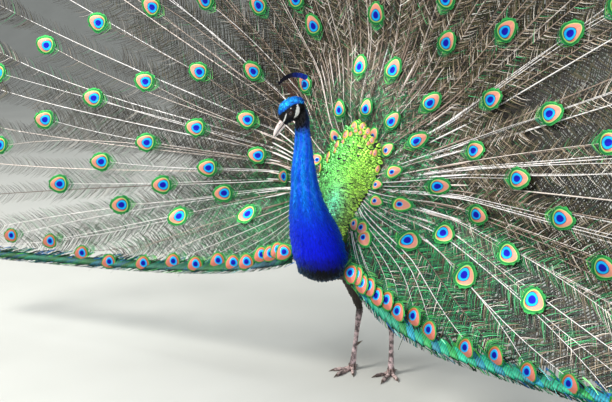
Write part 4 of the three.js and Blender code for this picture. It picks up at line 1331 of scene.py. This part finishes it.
# Locked barbs of the webs, satin, and the sickles' loose but glossy ones.
web = feather_material("hem_web_locked_barbs", 0.55, 0.3, edge=0.0, barb_mm=3.0, bump=0.0)
sickle = feather_material("hem_sickle_glossy_barbs", 0.32, 0.35, edge=0.1, barb_mm=3.0, bump=0.0)
for name, side in SIDES.items():
    strips, tints, places = hem_sickles(side)
    piece = make_coat("hem_sickles_" + name, strips, places, np.clip(tints, 0, 1))
    finish_piece(piece, sickle, [f"train_hem_{name}_{n}" for n in (1, 2, 3)])
    webs, tints, places = hem_webs(side)
    finish_piece(make_coat("hem_webs_" + name, webs, places, np.clip(tints, 0, 1)), web)


# %% [markdown]
# ## Tail quills
# Behind the train stand twenty stiff tail feathers that prop it up. They are broad grey-brown vanes with
# a strong pale quill, seen mostly from behind.

# %% Tail
QUILLS = 20


def tail_place(angle, radius, back=0.0):
    """A flat fan: x = r sin(a), y = 104 mm - 0.05 r + back, z = 400 mm + r cos(a)."""
    turn = np.radians(angle)
    return np.stack(np.broadcast_arrays(radius * np.sin(turn), 0.104 - 0.05 * radius + back,
                                        0.400 + radius * np.cos(turn)), -1)


quill_angle = (np.arange(QUILLS) - (QUILLS - 1) / 2) * 9.8
angle = quill_angle[:, None, None]
along = np.linspace(0, 1, 16)[:, None]
across = np.linspace(-1, 1, 9)
rounding = np.sqrt(np.clip(1 - np.clip((along - 0.86) / 0.14, 0, 1) ** 2, 0.02, 1))
vane_half = (0.012 + 0.014 * np.sin(np.pi * np.clip(along * 0.75, 0, 1))) * rounding
radius = 0.045 + 0.386 * along
order = np.abs(angle) / 90 * 0.0015
behind = 0.0012 + order + 0.0022 * np.abs(across)
vanes = tail_place(angle + np.degrees(across * vane_half / radius), radius, behind)
bars = np.sin(along * 46 + 2.5 * across**2) * 0.5 + 0.5
tints = linear("#6a5a48") * (0.75 + 0.35 * bars[None, ..., None])
tail = make_coat("tail_vanes", vanes, np.stack([quill_angle / 220 + 0.5, np.full(QUILLS, 0.5)], 1), tints)
# Tail vane: matt grey-brown keratin with fine barb lines.
tail_feather = feather_material("tail_vane_grey_brown", 0.6, 0.0, edge=0.15, barb_mm=0.25, bump=0.4)
finish_piece(tail, tail_feather, ("tail_left", "tail_right"))
s = np.linspace(0, 1, 10)[:, None]
around = circle(5)
thick = 0.0017 * (1 - 0.8 * s)
radius = 0.042 + 0.380 * s
tubes = tail_place(angle + np.degrees(thick * np.cos(around) / radius), radius,
                   0.0006 + thick * np.sin(around))
quills = make_piece("tail_quills", tubes, grid_faces(10, 5, closed=True, count=QUILLS),
                    tint=np.broadcast_to(linear("#c9b79f"), tubes.shape))
finish_piece(quills, ivory)


# %% [markdown]
# ## Rump, flanks and thighs
# Under the fan the bird carries a puff of grey-brown down. Short dark contour feathers cover flanks and
# belly, and soft olive ones the thighs down to the heel. All are rows of vanes on their own forms.

# %% Contour feathers of the rear
def contour_coat(name, form_name, material, spacing, step, length, aspect, lift, way, pull, clear_of,
                 margin, stray=0.14):
    """Vanes on staggered rows of a form where they are clear of another. They lie by way, +1 or -1 along the
    form, plus an even pull such as gravity's, plus chance by stray."""
    roots, normal, ahead, shares = rows_on_form(
        FORMS[form_name], spacing, step, COAT_DEPTH[form_name],
        keep=lambda roots, shares: ~inside(clear_of, roots, margin))
    lie = flatten(way * ahead + np.array(pull) + stray * rng.standard_normal(roots.shape), normal)
    size = length * rng.uniform(0.85, 1.15, len(roots))
    vanes = lay_vanes(roots, lie, normal, size, size * aspect, lift=rng.uniform(*lift, len(roots)), cup=0.2)
    tints = jitter(coat_tint(roots - normal * 0.002), 0.22)
    return finish_piece(make_coat(name, vanes, root_uv(shares), tints), material)


# Contour feathers: soft and hardly metallic. Down: loose matt barbs, far apart.
body_feather = feather_material("contour_feather_soft", 0.6, 0.1, edge=0.4, barb_mm=0.8, bump=0.4)
down_feather = feather_material("down_loose_barbs", 0.85, 0.0, edge=0.3, barb_mm=1.6, bump=0.5)
contour_coat("body_coat", "trunk", body_feather, spacing=0.0100, step=0.0075, length=0.022,
             aspect=0.6, lift=(0.03, 0.10), way=1, pull=(0, 0, -0.25), clear_of="neck", margin=0.002)
contour_coat("rump_down", "undertail", down_feather, spacing=0.0090, step=0.0070, length=0.030,
             aspect=0.30, lift=(0.10, 0.34), way=0, pull=(0, 0.55, -1), clear_of="trunk", margin=0.004,
             stray=0.3)
for name in LEGS:
    contour_coat("thigh_coat_" + name, "thigh_" + name, body_feather, spacing=0.0052,
                 step=0.0044, length=0.018, aspect=0.42, lift=(0.05, 0.24), way=-1, pull=(0, 0, -0.3),
                 clear_of="trunk", margin=0.006)


# %% [markdown]
# ## Wings
# The wings hang folded behind the train. Their upper side is barred buff and black in short scales, and the
# chestnut flight feathers show below and at the tip.

# %% Wings
FLIGHTS = 11
# Wing feather: matt, barb lines close together, darker towards its end.
wing_feather = feather_material("wing_feather_barred", 0.55, 0.0, edge=0.25, barb_mm=0.4, bump=0.4, tip=0.25)


def wing_coat(name, side):
    """Barred coverts in rows on the wing's form, and long flight feathers fanned under them to its tip."""
    shape = FORMS["wing_" + name]
    roots, normal, ahead, shares = rows_on_form(
        shape, spacing=0.015, step=0.011, inset=COAT_DEPTH["wing_" + name],
        keep=lambda roots, shares: ~inside("trunk", roots, 0.004) & (shares[:, 1] < 0.80))
    size = np.interp(shares[:, 1], [0, 0.8], [0.024, 0.040])
    vanes = lay_vanes(roots, ahead + 0.05 * rng.standard_normal(roots.shape), normal, size, size * 0.62,
                      rows=9, columns=5, lift=0.05, cup=0.12)
    t = np.linspace(0, 1, 9)[:, None, None]
    s = np.linspace(-1, 1, 5)[:, None]
    bars = smooth(np.sin(t * 13 - 2.2 * s**2 + rng.uniform(-0.6, 0.6, (len(roots), 1, 1, 1))), -0.35, 0.35)
    tints = linear("#1a1410") * (1 - bars) + linear("#c9a878") * bars
    coverts = make_coat("wing_coverts_" + name, vanes, root_uv(shares), tints)
    finish_piece(coverts, wing_feather, ("wing_" + name,))
    share = np.linspace(0, 1, FLIGHTS)
    first, last = shape["start"], shape["end"]
    start = on_form(shape, first + (0.15 + 0.35 * share) * (last - first), -1.9 + 0.9 * share, 0.004)
    end = on_form(shape, last - 0.004 - 0.09 * (1 - share), -2.0 + 1.4 * share, 0.001)
    outward = np.broadcast_to(side * X + 0.15 * Z, start.shape)
    flights = lay_vanes(start, end - start, outward, np.linalg.norm(end - start, axis=1), 0.030, rows=14,
                        columns=5, lift=0.0, cup=0.05, blunt=0.75)
    flights = flights + outward[:, None, None] * (0.0012 * np.arange(FLIGHTS))[:, None, None, None]
    tints = linear("#8e4a22") * (0.9 + 0.2 * rng.random((FLIGHTS, 1, 1, 1)))
    places = np.stack([share * 0.9 + 0.05, np.full(FLIGHTS, 0.5)], 1)
    finish_piece(make_coat("wing_flights_" + name, flights, places, tints), wing_feather)


for name, side in SIDES.items():
    wing_coat(name, side)


# %% [markdown]
# ## Closed tubes for horn and legs
# Bill, claws, shanks and spurs are stacks of rings along a line. One helper closes both ends on a point and
# merges it, so that no seam or open end is left.

# %% Closed solid from a grid of rings
def solid_piece(name, grid, tint=None):
    """A closed piece from rings (n, m, 3): the end rings are drawn to their middles and merged."""
    points = close_ends(grid)
    if tint is not None:
        tint = np.broadcast_to(tint, grid.shape)
        tint = np.concatenate([tint[:1], tint, tint[-1:]])
    rows, columns = points.shape[:2]
    faces = grid_faces(rows, columns, closed=True)
    piece = make_piece(name, points, faces, uv=lattice(rows, columns), tint=tint)
    work = bmesh.new()
    work.from_mesh(piece.data)
    bmesh.ops.remove_doubles(work, verts=work.verts, dist=1e-6)
    bmesh.ops.recalc_face_normals(work, faces=work.faces)
    work.to_mesh(piece.data)
    work.free()
    return piece


# %% [markdown]
# ## Eyes
# A peacock's eye is a glossy brown-black ball. The pupil and the brown iris are rings round its axis, which
# points out sideways, and a clear coat gives the wet highlight.

# %% Eyes
# Eye: black pupil, dark brown iris, black rim; a wet clear coat.
wet_eye, add = new_material("eye_wet_cornea", 0.12, ior=1.38, coat=1.0)
along = add("SeparateXYZ", add("UVMap", uv_map="lie")).node.outputs["Y"]
iris = [(0.0, "#020202"), (0.125, "#020202"), (0.15, "#261008"), (0.24, "#30160a"), (0.29, "#0a0503"),
        (1.0, "#0a0503")]
add("BsdfPrincipled", Base_Color=add("ValToRGB", along, stops=iris))
for name, side in SIDES.items():
    polar, around = np.meshgrid(np.linspace(0.02, math.pi - 0.02, 30), circle(40), indexing="ij")
    level = np.sin(polar)
    ball = np.stack([level * np.cos(around), side * np.cos(polar), level * np.sin(around)], -1)
    grid = head_to_bird(EYE_AT * [1, side, 1] + ball * (EYE_RADIUS - 0.1 * MM))
    finish_piece(solid_piece("eyeball_" + name, grid), wet_eye, ("eye_" + name,))


# %% [markdown]
# ## Bill
# The bill is a stout arched horn, whitish pink with a darker ridge. The nostril is a slit in a soft swelling
# near its base, and a gape parts the two halves; both are darkened with painted shade. Both halves are rings
# read from a table, and the slit is a dent in them.

# %% Bill
# Rings of each half in the head's frame, in millimetres: (x, low z, high z, half width).
UPPER_BILL = [(24.0, -6.2, 5.0, 6.8), (25.4, -6.4, 4.4, 6.6), (36, -7.2, 2.6, 5.2), (47, -8.6, -0.6, 4),
              (55, -11.4, -5.0, 2.8), (59.4, -15.0, -9.9, 1.3)]
LOWER_BILL = [(24.0, -13, -6.9, 6.0), (25.4, -13, -6.8, 5.8), (36, -12.8, -7.6, 4.6), (46, -12.6, -9, 3.2),
              (52.6, -12.9, -11.6, 1.4)]
NOSTRIL_X = 31.5


def bill_grid(table, dent, stations=50, sides=48):
    """Oval rings in the head's frame, pinched to a ridge on top, with a nostril dent on each side. Gives x, y
    and z in millimetres, and the dent's share."""
    rows = np.array(table, float)
    x = np.linspace(rows[0, 0], rows[-1, 0], stations)
    low, high, half = spline(rows, x).T[..., None]
    sine, cosine = np.sin(circle(sides)), np.cos(circle(sides))
    y = half * np.sign(cosine) * np.abs(cosine) ** 0.9
    z = (low + high) / 2 + (high - low) / 2 * np.sign(sine) * np.abs(sine) ** 1.05
    x = np.broadcast_to(x[:, None], y.shape)
    ahead = x - NOSTRIL_X
    nostril = np.exp(-((ahead / 3.0) ** 2 + ((z - 0.4 - 0.12 * ahead) / 0.85) ** 2) ** 1.5) * (dent > 0)
    swelling = np.exp(-((ahead / 5.0) ** 2 + ((z - 0.6) / 2.4) ** 2)) * (dent > 0)
    y = y + np.sign(cosine) * (0.35 * swelling - dent * nostril) * (np.abs(cosine) > 0.3)
    return x, y, z, nostril


# Bill, claws and spurs: keratin, satin, with growth patches about 2 mm wide.
horn = horn_material("bill_horn_keratin", 0.34, ior=1.54, grain=(420.0, 5.0), contrast=(0.3, 0.7, 0.72, 1.08),
                     bump=0.2, coat=0.2)
for name, table, dent, ridged in (("upper", UPPER_BILL, 1.1, 0.5), ("lower", LOWER_BILL, 0.0, 0.0)):
    x, y, z, nostril = bill_grid(table, dent)
    ridge = ridged * smooth(z, -1, 4)[..., None]
    gape = smooth(np.abs(z + 6.8 + 0.06 * (x - 25.4)), 1.2, 0.4)
    tint = linear("#f0e0da") * (1 - ridge) + linear("#a08a86") * ridge
    # The gape line and the nostril slit are darkened by up to 85 %: painted shade in the gap and the hollow.
    tint = tint * (1 - 0.85 * np.clip(gape + nostril, 0, 1))[..., None]
    grid = head_to_bird(np.stack([x, y, z], -1) * MM)
    finish_piece(solid_piece("bill_" + name + "_horn", grid, tint), horn, ("bill_" + name,))


# %% [markdown]
# ## Crest
# The crest is a fan of 25 bare reddish shafts, each with a small blue spoon at its end. The spoons overlap
# in one curved band. Shafts are tubes, and each spoon is a cupped disc standing in the head's middle plane.

# %% Crest
# Millimetres in the head's frame. The last plume stands apart, lower and shorter.
CREST_AT = np.array([-29.0, 0.0, 15.0])
PLUMES = 25
plumes = np.arange(PLUMES)
degrees = np.append(np.linspace(92, 171, PLUMES - 1), 183)
reach = np.append(np.linspace(41.0, 48.0, PLUMES - 1), 34.0)[:, None, None]
turn = np.radians(degrees)[:, None, None, None]
along = np.cos(turn) * X + np.sin(turn) * Z
across = np.cos(turn) * Z - np.sin(turn) * X
offset = Y * ((plumes % 3 - 1) * 0.9)[:, None, None, None]
steps = np.linspace(0.05, 1, 8)[:, None]
sway = rng.normal(0, 0.6, PLUMES)[:, None, None] * np.sin(np.pi * steps)
around = circle(5)[:, None]
line = along * ((reach - 2) * steps)[..., None] + across * sway[..., None] + offset * steps[..., None]
tube = CREST_AT + line + 0.24 * (across * np.cos(around) + Y * np.sin(around))
crest_shafts = make_piece("crest_shafts", head_to_bird(tube * MM), grid_faces(8, 5, True, PLUMES))
# Crest shaft: thin reddish keratin, satin, in two browns.
crest_shaft, add = new_material("crest_shaft_keratin", 0.45, ior=1.54)
grain = add("TexNoise", Vector=add("TexCoord").node.outputs["Object"], Scale=300.0)
add("BsdfPrincipled", Base_Color=add("ValToRGB", grain, stops=[(0.35, "#3c1410"), (0.65, "#6e2e24")]))
finish_piece(crest_shafts, crest_shaft, ("crest",))
dx, dy = disc_grid(9)
swell = np.interp(plumes, [0, 6, 20, 24], [0.62, 0.8, 1.0, 1.1])[:, None, None]
cup = 0.7 * (dx**2 - 0.4) * np.where(plumes % 2, 1, -1)[:, None, None]
spoon = (CREST_AT + along * (reach + 5.4 * swell * dy)[..., None]
         + across * (3.9 * swell * dx * (1 + 0.25 * dy))[..., None] + offset + Y * cup[..., None])
rear = smooth(degrees, 118, 168)
tints = vary(["#010206", "#040c5c", "#0848d8"], [1.05 - rear, 0.12 + 0.6 * rear, rear**2], 0.06)
places = np.stack([plumes / 27 + 0.04, np.full(PLUMES, 0.5)], 1)
crest_tips = make_coat("crest_tips", head_to_bird(spoon * MM), places, tints)
# Spoon of the crest: blue metallic barbules.
crest_feather = feather_material("crest_spoon_blue_barbs", 0.6, 0.6, edge=0.3, barb_mm=1.0, bump=0.4)
finish_piece(crest_tips, crest_feather)


# %% [markdown]
# ## Legs and feet
# Shanks and toes wear plates of horn, broad and stepped down the front and finer behind. The plates are real
# ridges in the mesh: each ring's radius swells and drops once for every plate. Spur and claws are smooth.

# %% Shanks with scutes and spur
# Shank: (share of height, half width, half depth) and the height of a plate, in millimetres.
SHANK = np.array([(0.0, 8.1, 8.7), (0.1, 7.6, 8.2), (0.25, 6.3, 6.9), (0.7, 5.9, 6.9), (0.9, 7.7, 8.7),
                  (1.0, 7.7, 9.1)])
SCUTE_PITCH = 4.6
TOE_PITCH = 3.4
SPUR = 21.5


def leg_line(leg, height):
    """The line from the toes' joint up to the heel, at a height, all in millimetres."""
    hub, heel = np.array(leg["hub"]), np.array(leg["heel"])
    return hub + (heel - hub) * (np.asarray(height) / leg["heel"][2])[..., None]


def plate_profile(phase):
    """One plate: rises slowly over its length and drops at its lower edge; phase in plates."""
    part = phase - np.floor(phase)
    return smooth(part, 0.0, 0.18) - 0.55 * smooth(part, 0.35, 1.0)


def shank_grid(leg, rings=220, sides=36):
    """Oval rings up the leg line; plates of 4.6 mm in front, of half that behind."""
    heel = leg["heel"][2]
    height = np.linspace(11.5, heel + 1.5, rings)[:, None]
    half_x, half_y = np.moveaxis(spline(SHANK, height / heel), -1, 0)
    around = circle(sides)
    front = smooth(-np.sin(around), -0.2, 0.35)
    phase = height / SCUTE_PITCH + 0.12 * np.cos(around)
    fine = height / (SCUTE_PITCH / 2) + 0.5 * (np.floor(around / 0.7) % 2)
    relief = 0.42 * front * plate_profile(-phase) + 0.22 * (1 - front) * plate_profile(-fine)
    x = (half_x - 0.4 + relief) * np.cos(around)
    y = (half_y - 0.4 + relief) * np.sin(around)
    return (leg_line(leg, height) + np.stack([x, y, 0 * x], -1)) * MM, relief


def plate_tint(relief, high, low):
    """Light on the raised plates and dark in their joints."""
    share = smooth(relief, -0.16, 0.22)[..., None]
    return linear(low) * (1 - share) + linear(high) * share


# Leg plates: horn, dusty pink-brown with blotches of about 9 mm, satin, with pits of about 1 mm.
leg_horn = horn_material("leg_plates_horn", 0.52, ior=1.5, grain=(110.0, 4.0),
                         contrast=(0.42, 0.60, 0.20, 1.2), bump=0.3, pebbles=900.0)
for name, leg in LEGS.items():
    grid, relief = shank_grid(leg)
    heel_shade = 1 - 0.75 * smooth(np.linspace(0, 1, len(grid)), 0.85, 0.94)[:, None, None]
    shank = solid_piece("shank_plates_" + name, grid, plate_tint(relief, "#d4bcbe", "#3c2830") * heel_shade)
    finish_piece(shank, leg_horn, ("shank_" + name,))
    out = unit(np.array([-0.45 * leg["side"], 0.85, 0.28]))
    side_way = unit(np.cross(out, Z))
    up_way = np.cross(side_way, out)
    share = np.linspace(0, 1, 24)[:, None, None]
    around = circle(20)[:, None]
    centre = leg_line(leg, 0.4 * leg["heel"][2]) + out * share * SPUR + up_way * 2.0 * share**2
    spur = centre + (4.3 * (1 - share) ** 0.8 + 0.25) * (side_way * np.cos(around) + up_way * np.sin(around))
    spur = solid_piece("spur_" + name, spur * MM, linear("#8c7a68") * (1 - 0.4 * share))
    finish_piece(spur, horn)

# %% Toes and claws
# Toes: (turn in degrees, length, width, height, joints), in millimetres.
TOES = [(0, 76, 11, 10.5, 3), (36, 60, 10, 9.5, 3), (-38, 56, 10, 9.5, 3), (170, 34, 8.5, 9, 2)]
CLAW = 15.0


def on_toe(leg, turn, at, across, up):
    """Places from a toe's own measures in millimetres: hub + at*heading + across*sideways + up."""
    heading = math.radians(leg["side"] * turn - leg["toes_turn"])
    ahead = math.sin(heading) * X - math.cos(heading) * Y
    sideways = math.cos(heading) * X + math.sin(heading) * Y
    return MM * (leg["hub"] + at[..., None] * ahead + across[..., None] * sideways + up[..., None] * Z)


def toe_grid(leg, turn, length, width, height, joints, rings=110, sides=36):
    """Arched sections with a flat sole; knuckles swell the toe between joints, plates step over its top."""
    knuckle = length - CLAW
    at = np.linspace(-4, knuckle + 1.5, rings)[:, None]
    table = np.array([(-4, 0.9, 1.22), (0.5 * knuckle, 0.78, 0.86), (knuckle, 0.62, 0.78),
                      (knuckle + 2, 0.5, 0.66)])
    wide, tall = np.moveaxis(spline(table, at), -1, 0)
    swell = 1 + 0.07 * np.cos(2 * np.pi * joints * np.clip(at / knuckle, 0, 1))
    sine, cosine = np.sin(circle(sides)), np.cos(circle(sides))
    relief = 0.40 * smooth(sine, 0.1, 0.5) * plate_profile(at / TOE_PITCH)
    arch = tall * height * swell * 0.93
    across = cosine * (wide * width / 2 * swell * 0.97 + 0.3 * relief)
    roof, sole = sine * (arch * 0.62 + relief), sine * arch * 0.5
    up = np.maximum(arch * 0.34 + np.where(sine > 0, roof, sole), 0)
    return on_toe(leg, turn, at, across, up), relief


def claw_grid(leg, turn, length, width, height, rings=30, sides=20):
    """A claw: rings that shrink to a point while their line bends down to the floor."""
    share = np.linspace(0, 1, rings)[:, None]
    radius = 0.30 * width * (1 - share) ** 0.75 + 0.12
    rise = np.maximum(0.40 * height * (1 - share**1.8) + 0.25, radius * 0.92 + 0.02)
    around = circle(sides)
    return on_toe(leg, turn, length - CLAW - 2.5 + (CLAW + 2.0) * share, 0.8 * radius * np.cos(around),
                  np.maximum(rise + radius * np.sin(around), 0.0))


for name, leg in LEGS.items():
    for i, (turn, length, width, height, joints) in enumerate(TOES, 1):
        grid, relief = toe_grid(leg, turn, length, width, height, joints)
        toe = solid_piece(f"toe_{name}_{i}", grid, plate_tint(relief, "#d0bab6", "#6e5450"))
        finish_piece(toe, leg_horn, ("foot_" + name,) if i == 1 else ())
        claw = solid_piece(f"claw_{name}_{i}", claw_grid(leg, turn, length, width, height), linear("#5a4b40"))
        finish_piece(claw, horn)
    share = np.linspace(0, 1, 24)[:, None]
    around = circle(36)
    radius = np.interp(share, [0, 0.5, 1], [9.2, 9.9, 8.6]) + 0.25 * np.cos(9 * around) * (1 - share)
    pad = np.stack([radius * np.cos(around), radius * np.sin(around), 0.15 + 14.6 * share + 0 * radius], -1)
    tint = plate_tint(0.25 * np.cos(9 * around) + 0 * radius, "#c8b0ac", "#6e5450")
    finish_piece(solid_piece("foot_pad_" + name, (leg["hub"] + pad) * MM, tint), leg_horn)

# %% [markdown]
# ## Floor and light
# The model stands on a plain pale sweep: a floor that curves up far behind it into a wall, so that no
# horizon shows. Broad soft lamps light it from the left front and from above.

# %% Sweep
def sweep_profile(count=60):
    """Floor from in front of the camera back to y = 7 m, then a quarter circle of 2.5 m up to a wall."""
    flat = np.linspace(-9, 7, 12)
    turn = np.linspace(0, np.pi / 2, count)
    y = np.concatenate([flat, 7 + 2.5 * np.sin(turn), [9.5]])
    z = np.concatenate([0 * flat, 2.5 - 2.5 * np.cos(turn), [9.0]])
    return y[:, None], z[:, None]


sweep = np.stack(np.broadcast_arrays(np.linspace(-14, 14, 9), *sweep_profile()), -1)
floor = make_piece("floor", sweep - SHIFT, grid_faces(*sweep.shape[:2]))
# Floor: matt paint with faint clouds.
floor_paint, add = new_material("floor_matt_paint", 0.9)
speckle = add("TexNoise", Vector=add("TexCoord").node.outputs["Object"], Scale=3.0, Detail=2.0)
add("BsdfPrincipled", Base_Color=add("ValToRGB", speckle, stops=[(0.3, "#c6c9c4"), (0.7, "#cdd0cb")]))
floor.data.materials.append(floor_paint)
floor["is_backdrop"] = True


# %% Lamps
def area_lamp(name, place, aim, size, power, colour="#ffffff"):
    """A square soft lamp at a place, turned to aim at a point."""
    data = bpy.data.lights.new(name, "AREA")
    data.shape = "SQUARE"
    data.size = size
    data.energy = power
    data.color = linear(colour)
    lamp = place_object(name, data)
    lamp.location = place
    lamp.rotation_euler = (Vector(aim) - Vector(place)).to_track_quat("-Z", "Y").to_euler()


area_lamp("key", (-2.2, -3.2, 3.6), (0, 0, 0.5), 1.6, 290, "#fffaf4")
area_lamp("fill", (3.4, -2.6, 2.4), (0, 0, 0.6), 3.0, 80, "#eef4ff")
area_lamp("top", (0.2, 1.0, 4.6), (0, 0, 0.6), 3.0, 110)
world = bpy.data.worlds.new("studio")
world.use_nodes = True
sky = world.node_tree.nodes["Background"]
sky.inputs["Color"].default_value = rgba("#eceff2")
sky.inputs["Strength"].default_value = 0.42
bpy.context.scene.world = world
bpy.context.scene.view_settings.view_transform = "Standard"

# %% [markdown]
# ## Size
# The box round the dressed model, floor left out, is printed.

# %% Print the dressed model's box
low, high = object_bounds()
print("dressed model:", [round(v, 4) for v in (*low, *high)])
